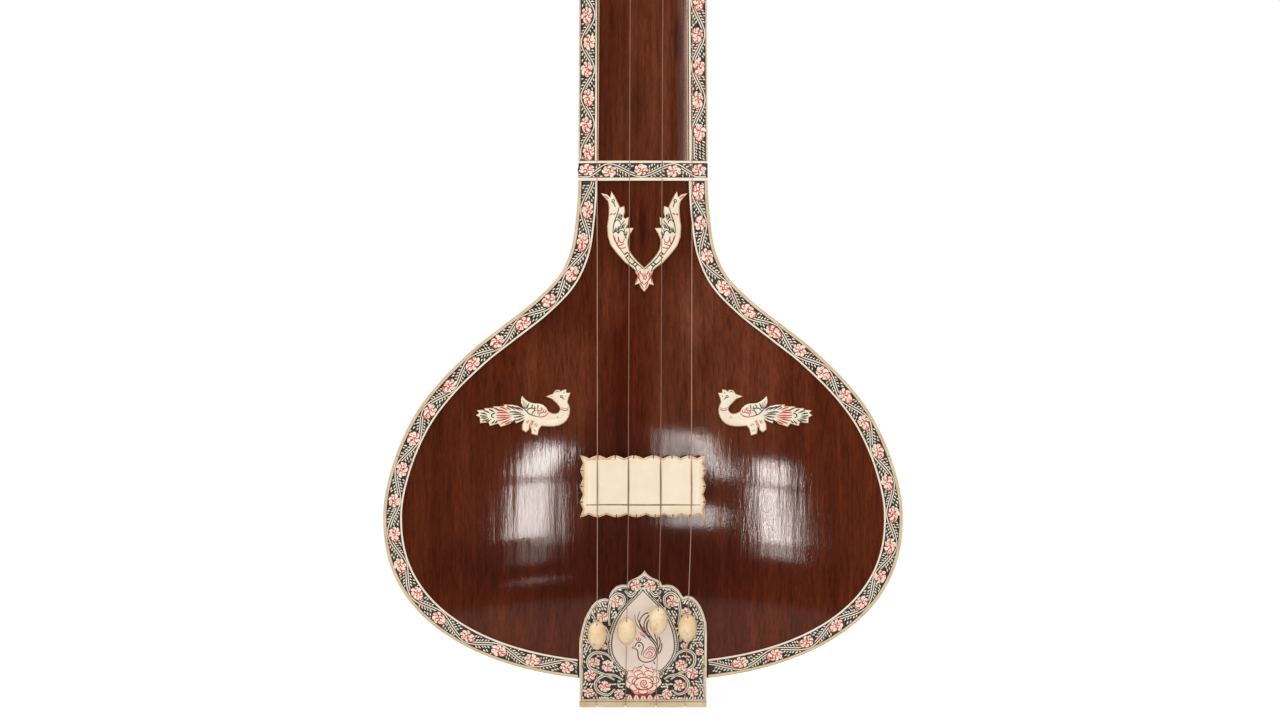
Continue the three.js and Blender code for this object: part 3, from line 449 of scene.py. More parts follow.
def bone(name, pale, warm, roughness=0.3, coat=0.3, spots=0.0, edge=None, holes=()):
    """Bone, ivory or celluloid with soft yellowing, with painted shade in the edge colour where it turns away from the
    view if edge is given.
    """
    m = Nodes(name)
    cloud = m.noise(BONE_CLOUD)
    color = m.ramp(cloud, [(0.3, warm), (0.62, pale)])
    if spots:
        color = m.mix(spots, color, m.ramp(m.noise(BONE_STAIN), STAIN_STOPS), "MULTIPLY")
    # Painted shade: the edge colour where the surface turns away from the view.
    if edge:
        turned = m.add("ShaderNodeLayerWeight", {"Blend": 0.22}).outputs["Facing"]
        color = m.mix(m.scaled(turned, 0.0, 0.8), color, edge)
    # Painted shade of holes, where holes are given.
    color = patched(m, color, holes)
    return m.finish(
        color, m.scaled(cloud, roughness - 0.05, roughness + 0.1), m.bump(m.noise(BONE_PORES), 0.08, 0.2),
        Coat_Weight=coat, Coat_Roughness=0.15, Subsurface_Weight=0.06, Subsurface_Scale=0.003,
    )


def ink(name, color, fade):
    """Engraved and filled lines, a little faded."""
    m = Nodes(name)
    wear = m.noise(INK_WEAR)
    tone = m.ramp(wear, [(0.38, color), (0.72, fade)])
    return m.finish(tone, m.scaled(wear, 0.35, 0.5), m.bump(wear, 0.1, 0.2), Coat_Weight=0.2)


def metal(name, color, metallic=1.0):
    m = Nodes(name)
    grain = m.noise(METAL_GRAIN)
    tone = m.mix(m.scaled(grain, 0.0, 0.35), color, [part * METAL_SHADE for part in color])
    return m.finish(tone, m.scaled(grain, METAL_ROUGHNESS, METAL_ROUGHNESS + 0.15), Metallic=metallic)


# Soundboard patches: the paler, bluer ones are painted sheen beside the reflections of the bright panes; the darker
# ones darken the middle, the spot between the birds, the right edge and the board towards the bottom.
BOARD_TONE_AND_SHEEN_PATCHES = [
    (-0.4, 353, 4.5, 28, (0.5, 0.42, 0.4)), (-10, 235, 27, 100, (0.8, 0.5, 0.3)),
    (-25, 300, 16, 38, (1.4, 1.8, 2.3)), (-62, 234, 40, 62, (1.6, 2.1, 2.9)),
    (50, 240, 92, 116, (1.3, 1.72, 2.5)), (42, 298, 28, 46, (1.25, 1.4, 1.6)),
    (-100, 262, 30, 60, (1.1, 1.12, 1.05)), (118, 150, 16, 70, (0.86, 0.8, 0.76)),
    (-10, 86, 210, 46, (0.68, 0.5, 0.34)),
]
# Neck patches: the pale bluish one down the middle is painted sheen; the darker ones darken the left edge, a narrow
# strip at the upper right and two spots left of the middle.
NECK_TONE_AND_SHEEN_PATCHES = [
    (27.3, 500, 5.5, 27, (0.5, 0.44, 0.42)), (-37, 510, 5, 60, (0.72, 0.66, 0.62)),
    (-6, 455, 15, 34, (0.8, 0.82, 0.9)), (-22, 480, 11, 90, (0.9, 0.86, 0.8)),
    (7, 475, 24, 130, (1.45, 1.75, 2.0)),
]
BOARD_WOOD = lacquered_wood(
    "board_wood", (0.066, 0.0112, 0.0024), (0.092, 0.0166, 0.0042), (0.124, 0.0262, 0.0076), patches=BOARD_TONE_AND_SHEEN_PATCHES,
)
NECK_WOOD = lacquered_wood(
    "neck_wood", (0.070, 0.0125, 0.0030), (0.106, 0.0225, 0.0070), (0.150, 0.038, 0.013), grain=0.9, skin=0.3,
    patches=NECK_TONE_AND_SHEEN_PATCHES,
)
GOURD_SKIN = lacquered_wood(
    "gourd_skin", (0.045, 0.0070, 0.0026), (0.085, 0.0150, 0.0050), (0.140, 0.030, 0.0105), grain=0.6,
)
PEG_WOOD = lacquered_wood(
    "peg_wood", (0.030, 0.0050, 0.0022), (0.070, 0.0120, 0.0050), (0.120, 0.024, 0.0090), grain=1.6,
)
INNER_WOOD = lacquered_wood("inner_wood", (0.18, 0.09, 0.04), (0.30, 0.16, 0.08), (0.40, 0.24, 0.13), coat=0.0)
IVORY = bone("ivory", (0.90, 0.77, 0.58), (0.86, 0.70, 0.48))
CREAM = bone("cream_inlay", (0.96, 0.85, 0.69), (0.88, 0.72, 0.52), roughness=0.34)
# Painted shade of each bead's hole: a brown spot just below its top.
HOLE_SHADE_TONE = (0.42, 0.2, 0.1)
HOLE_HALF_X = 0.95
HOLE_HALF_Z = 1.6
HOLE_DOWN = 2.4
BEADS = [node_box(f"bead_{n}") for n in (1, 2, 3, 4)]
BEAD_HOLE_SHADES = [
    ((low[0] + high[0]) / 2, high[2] - HOLE_DOWN, HOLE_HALF_X, HOLE_HALF_Z, HOLE_SHADE_TONE) for low, high in BEADS
]
# Beads: the edge colour is painted shade round their sides.
BEAD_BONE = bone(
    "bead_bone", (0.98, 0.83, 0.57), (0.84, 0.56, 0.27), roughness=0.34, coat=0.25, spots=0.9,
    edge=(0.62, 0.36, 0.13), holes=BEAD_HOLE_SHADES,
)
TAN_EDGE = bone("tan_edge", (0.66, 0.47, 0.28), (0.50, 0.32, 0.17), roughness=0.4, spots=0.5)
GOLD_EDGE = bone("gold_edge", (0.80, 0.62, 0.40), (0.66, 0.46, 0.26), roughness=0.4, spots=0.4)
PALE = bone("pale_pink", (0.92, 0.78, 0.68), (0.87, 0.70, 0.58), roughness=0.32)
RIM_TAN = ink("rim_tan", (0.56, 0.30, 0.12), (0.76, 0.50, 0.27))
# Painted shade on the bridge's bevelled rim.
BEVEL_SHADE = ink("scorch", (0.62, 0.31, 0.10), (0.88, 0.62, 0.36))
BLACK_INK = ink("black_ink", (0.012, 0.012, 0.009), (0.055, 0.052, 0.040))
RED_INK = ink("red_ink", (0.50, 0.026, 0.02), (0.62, 0.08, 0.055))
PINK = ink("rose_cream", (0.94, 0.77, 0.61), (0.96, 0.86, 0.72))
BROWN_INK = ink("brown_ink", (0.16, 0.07, 0.035), (0.30, 0.16, 0.09))
SCORE = ink("scored_line", (0.24, 0.11, 0.045), (0.42, 0.24, 0.11))
# Dark brown for the worn grooves under the strings with the strings' painted shadow, and for painted shade in the saw
# slits.
STRING_WEAR_AND_SHADOW = ink("string_wear", (0.13, 0.055, 0.022), (0.34, 0.18, 0.08))
STEEL = metal("string_steel", (0.44, 0.25, 0.18), metallic=0.4)
BRONZE = metal("string_bronze", (0.76, 0.45, 0.33), metallic=0.4)
BRASS = metal("brass", (0.42, 0.26, 0.10))
STRING_METALS = [BRONZE, STEEL, STEEL, BRONZE]


# Body, shoulder and neck

AROUND = 72
LOW_ROWS = 60
HIGH_ROWS = 70
BOARD_LOW_ROWS = LOW_ROWS + 10
BOARD_HIGH_ROWS = HIGH_ROWS + 40
BOARD_COLUMNS = 120
TROUGH_ROWS = 30
NECK_ROWS = 60
NECK_COLUMNS = 60
JOINT = (BODY_LENGTH + NECK_START) / 2


def back_grid(rows, grow):
    z, turn = np.meshgrid(rows, np.linspace(0, 1, AROUND + 1), indexing="ij")
    x, y = section(turn, z, grow)
    return np.stack([x, y, z], axis=-1)


def make_gourd():
    outer = back_grid(body_rows(0, GOURD_TOP, LOW_ROWS, HIGH_ROWS), 0)
    inner = back_grid(body_rows(GOURD_WALL, GOURD_TOP, LOW_ROWS, HIGH_ROWS), -GOURD_WALL)
    gourd = slab("gourd_bowl", outer, inner, GOURD_SKIN, walls="top sides")
    stand_for(gourd, "gourd_skin", "gourd_shell")


def make_shoulder():
    rows = np.linspace(GOURD_TOP + GAP, NECK_START - GAP, HIGH_ROWS)
    shoulder = slab("shoulder_back", back_grid(rows, 0), back_grid(rows, -SHOULDER_WALL), NECK_WOOD)
    stand_for(shoulder, "lacquered_wood", "shoulder")


def make_neck():
    rows = np.linspace(NECK_START, HEAD_TOP, TROUGH_ROWS)
    trough = slab("neck_back", back_grid(rows, 0), back_grid(rows, -NECK_WALL), NECK_WOOD)
    face = front_slab("neck_front", np.linspace(JOINT, HEAD_TOP, NECK_ROWS), NECK_WOOD, NECK_COLUMNS, flat=True)
    for thing, node in ((trough, "neck_trough"), (face, "neck_face")):
        cut_away(thing, [peg_cutter(joint) for joint in joints_of("_turn")])
        stand_for(thing, "lacquered_wood", node)


def front_slab(name, rows, material, columns, flat=False):
    z, share = np.meshgrid(rows, np.linspace(-1, 1, columns + 1), indexing="ij")
    x = share * half_width(z)
    back = on_front(x, z, -BOARD_THICKNESS)
    if flat:
        back[..., 1] = RIM_Y - GAP
    return slab(name, on_front(x, z, 0), back, material)


def make_soundboard():
    rows = body_rows(0, JOINT - GAP, BOARD_LOW_ROWS, BOARD_HIGH_ROWS)
    board = front_slab("soundboard_top", rows, BOARD_WOOD, BOARD_COLUMNS)
    stand_for(board, "lacquered_wood", "soundboard")


def joints_of(kind):
    return [joint for joint in frame["joints"] if joint["name"].endswith(kind)]


def turning(points, place, direction):
    """Points about +Z stood at a place with +Z turned to a direction."""
    turn = Vector((0, 0, 1)).rotation_difference(Vector(direction)).to_matrix()
    return points @ np.array(turn).T + np.asarray(place)


def lathe(profile, sides, ripple=None):
    """Rows of points about +Z from (radius, height) pairs. ripple(angle, share) scales the radius."""
    radius, height = np.array(profile, float).T
    angle = np.linspace(0, 2 * np.pi, sides, endpoint=False)
    r, a = np.meshgrid(radius, angle, indexing="ij")
    z = np.repeat(height[:, None], sides, axis=1)
    if ripple is not None:
        share = (z - height.min()) / (height.max() - height.min())
        r = r * ripple(a, share)
    return np.stack([r * np.cos(a), r * np.sin(a), z], axis=-1)


def round_mesh(name, profile, material, place, direction, sides=48, ripple=None):
    """A closed round piece from a profile that starts and ends on the axis or closes on itself."""
    points = turning(lathe(profile, sides, ripple).reshape(-1, 3), place, direction)
    return new_object(name, points, tube_faces(len(profile), sides, ends=False), material, merge=0.005)


def drill(place, direction, radius, low, high, sides=24):
    """A cutter for a round hole from low to high along its direction."""
    return round_mesh("cutter", [(0, low), (radius, low), (radius, high), (0, high)], BRASS, place, direction, sides)


PEG_RADIUS = 5
PEG_CLEARANCE = 0.4
DRILL_OVERRUN = 15


def peg_cutter(joint):
    """Along a peg joint's axis, from the peg's inner end to outside the neck."""
    low, high = node_box(joint["name"].replace("_turn", ""))
    place = np.array(joint["pos_m"]) / MM
    out = np.array(joint["axis"])
    inner = place + out * (np.dot((low + high) / 2 - place, out) - np.abs(np.dot(high - low, out)) / 2)
    reach = np.dot(place - inner, out) + GAP
    return drill(place, out, PEG_RADIUS + PEG_CLEARANCE, -reach, DRILL_OVERRUN, sides=48)


def cut_away(thing, cutters):
    bpy.context.view_layer.update()
    for cutter in cutters:
        step = thing.modifiers.new("hole", "BOOLEAN")
        step.object = cutter
        step.operation = "DIFFERENCE"
        step.solver = "EXACT"
    bpy.context.view_layer.update()
    evaluated = thing.evaluated_get(bpy.context.evaluated_depsgraph_get())
    mesh = bpy.data.meshes.new_from_object(evaluated)
    thing.modifiers.clear()
    thing.data = mesh
    shade_smooth(mesh)
    for cutter in cutters:
        bpy.data.objects.remove(cutter)


make_gourd()
make_shoulder()
make_neck()
make_soundboard()


# Flat drawing

def spline(points, steps=5):
    """A smooth curve through chosen points."""
    p = np.asarray(points, float)
    p = np.vstack([2 * p[0] - p[1], p, 2 * p[-1] - p[-2]])
    t = np.linspace(0, 1, steps, endpoint=False)[:, None]
    spans = [
        (2 * b + (c - a) * t + (2 * a - 5 * b + 4 * c - d) * t**2 + (3 * b - a - 3 * c + d) * t**3) / 2
        for a, b, c, d in zip(p, p[1:], p[2:], p[3:])
    ]
    return np.vstack(spans + [p[-2:-1]])


def normals_of(line):
    along = np.gradient(line, axis=0)
    along /= np.maximum(np.linalg.norm(along, axis=1, keepdims=True), 1e-9)
    return np.stack([-along[:, 1], along[:, 0]], axis=1)


LEVEL_STEP = 0.03
SUNK = 0.08
FINEST = 0.05


class Inlay:
    """Flat inked shapes gathered as thin closed solids. place(u, v, lift) puts them on a surface."""

    def __init__(self, place, top):
        self.place = place
        self.top = top
        self.points = []
        self.faces = []
        self.inks = []
        self.materials = []
        self.count = 0

    def solid(self, ink, points, faces):
        if ink not in self.materials:
            self.materials.append(ink)
        self.points.append(points)
        self.faces.extend([i + self.count for i in face] for face in faces)
        self.inks.extend([self.materials.index(ink)] * len(faces))
        self.count += len(points)

    def closed(self, ink, flat, tops, rim, high, low):
        """A thin solid between lifts low and high from a flat shape, its top faces and its edge points in order."""
        flat = np.asarray(flat, float)
        n = len(flat)
        upper = self.place(flat[:, 0], flat[:, 1], high)
        lower = self.place(flat[:, 0], flat[:, 1], low)
        faces = [list(face) for face in tops]
        faces += [[i + n for i in reversed(face)] for face in tops]
        faces += [[a, a + n, b + n, b] for a, b in zip(rim, rim[1:] + rim[:1])]
        a, b, c = upper[list(tops[0][:3])]
        if np.dot(np.cross(b - a, c - a), upper[0] - lower[0]) < 0:
            faces = [face[::-1] for face in faces]
        self.solid(ink, np.vstack([upper, lower]), faces)

    def prism(self, ink, flat, tops, rim, level):
        """A shape sunk into the surface and raised by its level."""
        self.closed(ink, flat, tops, rim, self.top + level * LEVEL_STEP, self.top - SUNK)

    def stroke(self, ink, line, half, level=2):
        """A line whose half width may change along it."""
        line = np.asarray(line, float)
        n = len(line)
        along = np.linspace(0, 1, n)
        half = np.maximum(np.interp(along, np.linspace(0, 1, np.size(half)), np.atleast_1d(half)), FINEST)
        side = normals_of(line) * half[:, None]
        flat = np.vstack([line + side, line - side])
        tops = [(n + i, n + i + 1, i + 1, i) for i in range(n - 1)]
        rim = list(range(n, 2 * n)) + list(range(n - 1, -1, -1))
        self.prism(ink, flat, tops, rim, level)

    def patch(self, ink, outline, level=1):
        """A filled shape that can be seen whole from its middle."""
        outline = np.asarray(outline, float)
        n = len(outline)
        flat = np.vstack([outline, outline.mean(axis=0)])
        tops = [(n, i, (i + 1) % n) for i in range(n)]
        self.prism(ink, flat, tops, list(range(n)), level)

    def stroke_round(self, ink, outline, half, level):
        """A line round an outline, in two halves."""
        outline = np.asarray(outline, float)
        middle = len(outline) // 2
        self.stroke(ink, outline[:middle + 1], half, level)
        self.stroke(ink, np.vstack([outline[middle:], outline[:1]]), half, level)

    def tick(self, ink, u, v, end_u, end_v, half):
        """A short line that swells in its middle."""
        self.stroke(ink, [(u, v), ((u + end_u) / 2, (v + end_v) / 2), (end_u, end_v)], half)

    def dot(self, ink, u, v, radius, level=2):
        turn = np.linspace(0, 2 * np.pi, 10, endpoint=False)
        self.patch(ink, around(radius, turn) + (u, v), level)

    def plate(self, ink, us, vs, thickness, lift):
        """A closed plate over rows of u and v, from lift up by its thickness."""
        rows, columns = us.shape
        rim = list(range(columns))
        rim += [i * columns + columns - 1 for i in range(1, rows)]
        rim += [(rows - 1) * columns + j for j in range(columns - 2, -1, -1)]
        rim += [i * columns for i in range(rows - 2, 0, -1)]
        flat = np.stack([us.ravel(), vs.ravel()], axis=1)
        self.closed(ink, flat, grid_faces(rows, columns), rim, lift + thickness, lift)

    def make(self, name, *nodes, slot="inlay", body=ROOT):
        thing = new_object(name, np.vstack(self.points), self.faces, self.materials[0])
        for material in self.materials[1:]:
            thing.data.materials.append(material)
        thing.data.polygons.foreach_set("material_index", self.inks)
        return stand_for(thing, slot, *nodes, body=body)


def turned(line, angle):
    c, s = math.cos(angle), math.sin(angle)
    return np.asarray(line, float) @ np.array([[c, s], [-s, c]])


def around(radii, angles):
    return np.stack([np.asarray(radii) * np.cos(angles), np.asarray(radii) * np.sin(angles)], axis=1)


# Petals of a rose, ring by ring, as shares of its radius: number, place, length and width.
ROSE_RINGS = [(7, 0.73, 0.29, 0.27), (4, 0.35, 0.17, 0.19)]
ROSE_HEART = np.array([0.12, 0.05])
ROSE_HEART_RADIUS = 0.09
ROSE_HEIGHT = 0.94
ROSE_RIM = 0.3
ROSE_SIDES = 28
HEART_SHARES = [0.6, 1]
RED_GROUND = (0.88, 0.05)
PETAL_WANDER = 0.16
PETAL_GROWTH = (0.8, 1.15)
PETAL_REACH = (0.92, 1.02)
PETAL_SWELL = 0.3
PETAL_SWEEP = 0.9
PETAL_LIMIT = 0.97
VEIN_HALF = [0.16, 0.24, 0.06]


def rose(inlay, u, v, radius, stretch=1.0, angle=0.0):
    """An open rose: pale petals of uneven size on a red ground, ring within ring."""
    turn = np.linspace(0, 2 * np.pi, ROSE_SIDES, endpoint=False)
    put = lambda shape: turned(shape, angle) * (stretch, ROSE_HEIGHT) + (u, v)
    inlay.patch(BLACK_INK, put(around(radius + ROSE_RIM, turn)), 2.4)
    inlay.patch(RED_INK, put(around(radius * (RED_GROUND[0] + RED_GROUND[1] * np.cos(3 * turn)), turn)), 3)
    corner = np.linspace(0, 2 * np.pi, 8, endpoint=False)
    for ring, (count, away, long, wide) in enumerate(ROSE_RINGS):
        for i in range(count):
            middle = 2 * np.pi * (i + 0.5 * ring + rng.uniform(-PETAL_WANDER, PETAL_WANDER)) / count
            swell = 1 + PETAL_SWELL * np.cos(corner)
            petal = np.stack([long * np.cos(corner), wide * swell * np.sin(corner)], axis=1)
            petal *= rng.uniform(*PETAL_GROWTH)
            petal[:, 1] += PETAL_SWEEP * petal[:, 0] * (0.5 - ring)
            out = (away * rng.uniform(*PETAL_REACH), 0)
            place = turned(petal + out, middle) + ROSE_HEART * HEART_SHARES[ring]
            inlay.patch(PINK, put(np.clip(place, -PETAL_LIMIT, PETAL_LIMIT) * radius), 4)
            if ring == 0 and i % 2 == 0:
                vein = np.array([(away - long * 0.6, -0.1), (away, 0.03), (away + long * 0.5, 0.12)])
                inlay.stroke(RED_INK, put(turned(vein, middle) * radius), VEIN_HALF, 5)
    inlay.patch(PINK, put((around(ROSE_HEART_RADIUS, corner) + ROSE_HEART) * radius), 4)


LEAF_SHARES = [0.3, 0.95, 1, 0.65, 0.15]


def leaf(inlay, u, v, angle, length, half, curl):
    """A small comma-shaped leaf."""
    count = len(LEAF_SHARES)
    bend = angle + curl * np.linspace(0, 1, count)[:-1]
    steps = around(length / (count - 1), bend)
    line = np.vstack([np.zeros(2), np.cumsum(steps, axis=0)]) + (u, v)
    inlay.stroke(CREAM, line, np.array(LEAF_SHARES) * half)


# Flowered borders. Along a border, s runs along its length and t from its outer edge inwards.

TAN_WIDTH = 2.35
INNER_LINE = 1.35
ROSE_RADIUS = 5.0
ROSE_SIDE_SHIFT = 0.9
VINE_HALF = 0.4
VINE_APART = 0.85
LEAF_LENGTH = 2.5
LEAF_HALF = 0.52
LEAF_PITCH = 2.25
LEAF_ROW = 2.75
LEAF_ROWS = 4
LEAF_LEAN = 1.0
LEAF_SHORTEST = 1.1
LEAF_CURL = 0.5
LEAF_MARGIN = 0.35
LEAF_GAP = 0.5
LEAF_GROWTH = (0.85, 1.1)
LEAF_WANDER = 0.12
LEAF_SWAY = 0.15
LEAF_AHEAD = 1
LEAF_LEVEL = 0.05
ROSE_MARGIN = 0.1
ROSE_LONG = 1.2
ROSE_STRETCH = (1.1, 1.32)
EDGE_MARGIN = 0.3
VINE_INSET = 1.5
VINE_MARGIN = 0.3
VINE_STEP = 1.3
STRIP_ROW = 3
PATTERN_MARGIN = 0.4
BUD_FROM = 1.3
BUD_OUT = 0.85
BUD_SHARE = 0.62
BUD_SWEEP = 1.7
BUD_FLAT = (1, 0.95)
BUD_RIM = 0.4
BUD_RAYS = (-0.55, 0.0, 0.55)


def vine_place(s, stops, sides, middle, swing):
    """Where the vine runs: on the side away from each rose, crossing between them."""
    stops = np.asarray(stops, float)
    away = -np.asarray(sides, float)
    i = np.clip(np.searchsorted(stops, s) - 1, 0, len(stops) - 2)
    share = np.clip((s - stops[i]) / (stops[i + 1] - stops[i]), 0, 1)
    ease = share * share * (3 - 2 * share)
    return middle + swing * (away[i] + (away[i + 1] - away[i]) * ease)


def flowered_strip(inlay, length, low, high, stops, sides, start=0.0, growth_range=(1.15, 1.5)):
    """Black ground with a vine, leaves, roses and buds, between t = low and t = high."""
    middle = (low + high) / 2
    half = (high - low) / 2
    rows = np.linspace(start, start + length, max(3, int(length / STRIP_ROW)))
    s, t = np.meshgrid(rows, np.linspace(low, high, 5), indexing="ij")
    inlay.plate(BLACK_INK, s, t, SUNK + LEVEL_STEP, inlay.top - SUNK)
    begin, end = start + PATTERN_MARGIN, start + length - PATTERN_MARGIN
    growths = [rng.uniform(*growth_range) for _ in stops]
    vine_at = lambda s: vine_place(s, stops, sides, middle, half - VINE_INSET)
    fine = np.arange(begin, end, VINE_STEP)
    vine = np.stack([fine, vine_at(fine)], axis=1)
    for shift in (-VINE_APART, VINE_APART):
        line = vine + normals_of(vine) * shift
        line[:, 1] = np.clip(line[:, 1], low + VINE_MARGIN, high - VINE_MARGIN)
        inlay.stroke(CREAM, line, VINE_HALF, 2)
    hearts = middle + np.asarray(sides) * ROSE_SIDE_SHIFT
    fill_with_leaves(inlay, (begin, end), (low, high), np.asarray(stops, float), hearts, vine_at)
    radius = min(ROSE_RADIUS, half - EDGE_MARGIN)
    for stop, side, growth in zip(stops, sides, growths):
        if begin + radius < stop < end - radius:
            place = middle + side * min(ROSE_SIDE_SHIFT, half - radius - ROSE_MARGIN)
            rose(inlay, stop, place, radius, rng.uniform(*ROSE_STRETCH), rng.uniform(0, 6))
            if growth > BUD_FROM:
                bud(inlay, stop + radius * BUD_OUT, place, radius * BUD_SHARE)


def bud(inlay, s, t, radius):
    """A half opened bud beside a long rose."""
    turn = np.linspace(-BUD_SWEEP, BUD_SWEEP, 12)
    shape = around(radius, turn) * BUD_FLAT + (s, t)
    inlay.patch(BLACK_INK, around(radius + BUD_RIM, turn) * BUD_FLAT + (s, t), 2.3)
    inlay.patch(PINK, shape, 2.8)
    inlay.stroke(RED_INK, shape[1:-1], 0.4, 3.6)
    for swing in BUD_RAYS:
        ray = np.array([[0.15, 0.25 * swing], [0.55, swing * 0.7], [0.95, swing]]) * radius + (s, t)
        inlay.stroke(RED_INK, ray, 0.34, 3.6)


def fill_with_leaves(inlay, span, edges, stops, hearts, vine_at):
    """Sprays of leaves beside each other, row behind row, on both sides of the vine and clear of the roses."""
    begin, end = span
    low, high = edges
    for side in (-1, 1):
        for row in range(LEAF_ROWS):
            off = VINE_APART + VINE_HALF + LEAF_GAP + row * LEAF_ROW
            for s0 in np.arange(begin + LEAF_PITCH * (0.5 + 0.5 * (row % 2)), end, LEAF_PITCH):
                heading = math.atan2(float(vine_at(s0 + 0.5)) - float(vine_at(s0 - 0.5)), 1.0)
                grow = rng.uniform(*LEAF_GROWTH)
                s = s0 - side * off * math.sin(heading) + rng.uniform(-LEAF_WANDER, LEAF_WANDER)
                t = float(vine_at(s0)) + side * off * math.cos(heading)
                angle = heading + side * (LEAF_LEAN + rng.uniform(-LEAF_SWAY, LEAF_SWAY))
                along, across = math.cos(angle), math.sin(angle)
                room = (high - LEAF_MARGIN - t) if across > 0 else (t - low - LEAF_MARGIN)
                length = min(LEAF_LENGTH * grow, room / max(LEAF_LEVEL, abs(across)))
                if length < LEAF_SHORTEST or not begin < s < end - LEAF_AHEAD:
                    continue
                nearest = int(np.argmin(np.abs(stops - s - LEAF_AHEAD)))
                clear = min(
                    math.hypot(
                        (s + share * length * along - stops[nearest]) / ROSE_LONG,
                        t + share * length * across - hearts[nearest],
                    ) for share in (0, 0.5, 1)
                )
                if clear >= ROSE_RADIUS + ROSE_MARGIN:
                    leaf(inlay, s, t, angle, length, LEAF_HALF * grow, -side * LEAF_CURL)


TRIM_RECESS = 0.13
TRIM_TOP = GAP + TRIM - TRIM_RECESS


def strip_points(px, pz, side, last_inward):
    """A mapping from s and t to the front, along an outline on the right that runs from its top down."""
    run = np.stack([px, pz], axis=1)
    s = np.concatenate([[0], np.cumsum(np.linalg.norm(np.diff(run, axis=0), axis=1))])
    along = np.gradient(run, axis=0)
    along /= np.linalg.norm(along, axis=1, keepdims=True)
    inward = np.stack([along[:, 1], -along[:, 0]], axis=1)
    inward[0] = (-1, 0)
    inward[-1] = last_inward

    def place(at, across, lift):
        x = np.interp(at, s, run[:, 0]) + across * np.interp(at, s, inward[:, 0])
        z = np.interp(at, s, run[:, 1]) + across * np.interp(at, s, inward[:, 1])
        return np.stack([side * x, front_y(x, z) - lift, z], axis=-1)

    return place, s[-1]


def plain_strips(inlay, length, widths):
    """The cream plate and the plain lines of a border. widths lists (ink, low, high, level)."""
    rows = np.linspace(0, length, max(3, int(length / 2.5)))
    s, t = np.meshgrid(rows, np.linspace(0, BORDER_WIDTH, 7), indexing="ij")
    inlay.plate(CREAM, s, t, inlay.top - GAP, GAP)
    for ink, low, high, level in widths:
        s, t = np.meshgrid(rows, np.array([low, high]), indexing="ij")
        inlay.plate(ink, s, t, SUNK + level * LEVEL_STEP, inlay.top - SUNK)


BODY_ROSE_PITCH = 24.2
BODY_ROSE_GROWTH = 0.11
BODY_ROSE_COUNT = 22
BODY_ROSE_STARTS = {-1: -3.2, 1: 7.5}
BODY_BORDER_END = 1.2
BODY_BORDER_CUTS = (132.0, 268.0, 402.0)
CUT_HALF = 0.13


def make_body_border(name, side):
    end_x = facing_high[0] + BODY_BORDER_END
    last = math.acos((end_x / (BODY_WIDTH / 2)) ** (OUTLINE_POWER / 2))
    upper = np.linspace(BODY_LENGTH - GAP, WIDEST_AT, 160)
    turn = np.linspace(0, last, 120)[1:]
    px = np.concatenate([half_width(upper), BODY_WIDTH / 2 * np.cos(turn) ** (2 / OUTLINE_POWER)])
    pz = np.concatenate([upper, WIDEST_AT * (1 - np.sin(turn) ** (2 / OUTLINE_POWER))])
    place, length = strip_points(px, pz, side, (0, 1))
    inlay = Inlay(place, TRIM_TOP)
    plain_strips(inlay, length, [(GOLD_EDGE, 0, TAN_WIDTH, 1), (RIM_TAN, 0, 0.4, 2)])
    k = np.arange(BODY_ROSE_COUNT)
    stops = BODY_ROSE_STARTS[side] + BODY_ROSE_PITCH * k + BODY_ROSE_GROWTH * k * k
    stops = stops[stops < length + 20]
    sides = -((-1.0) ** np.arange(len(stops)))
    flowered_strip(inlay, length, TAN_WIDTH, BORDER_WIDTH - INNER_LINE, stops, sides)
    for cut in BODY_BORDER_CUTS:
        inlay.stroke(BROWN_INK, [(cut, 0.1), (cut + 0.4, BORDER_WIDTH - 0.1)], CUT_HALF, 4.2)
    inlay.make(name + "_inlay", name)


NECK_TAN = 1.15
NECK_CREAM_START = 12.8
NECK_CREAM_END = 14.1
NECK_ROSE_PITCH = {-1: 21.3, 1: 25.4}
NECK_ROSE_START = {-1: 6.9, 1: 22.2}
PURFLING = np.array([0.35, 1.05])
PURFLING_RISE = 0.12
PURFLING_THICKNESS = 0.32


def make_neck_border(name, side):
    low_z, high_z = border_low[2], border_high[2]
    run = np.linspace(high_z, low_z, 240)
    place, length = strip_points(half_width(run), run, side, (-1, 0))
    inlay = Inlay(place, TRIM_TOP)
    plain_strips(inlay, length, [(GOLD_EDGE, 0, NECK_TAN, 1), (BLACK_INK, NECK_CREAM_END, BORDER_WIDTH, 1)])
    pitch = NECK_ROSE_PITCH[side]
    from_joint = np.arange(NECK_ROSE_START[side], length + pitch, pitch)
    stops = (length - from_joint)[::-1]
    sides = -side * (-1.0) ** np.arange(len(stops))[::-1]
    flowered_strip(inlay, length, NECK_TAN, NECK_CREAM_START, stops, sides)
    inlay.make(name + "_inlay", name)
    line = Inlay(place, 0)
    s, t = np.meshgrid(np.linspace(0, length, 200), BORDER_WIDTH + PURFLING, indexing="ij")
    line.plate(TAN_EDGE, s, t, PURFLING_THICKNESS, PURFLING_RISE - PURFLING_THICKNESS)
    line.make(name + "_purfling")


BAND_LINE = 1.7
BAND_LOW_LINE = 2.3
BAND_ROSES = np.array([-2.2, -0.875, -0.53, -0.03, 0.48, 0.86, 2.2])


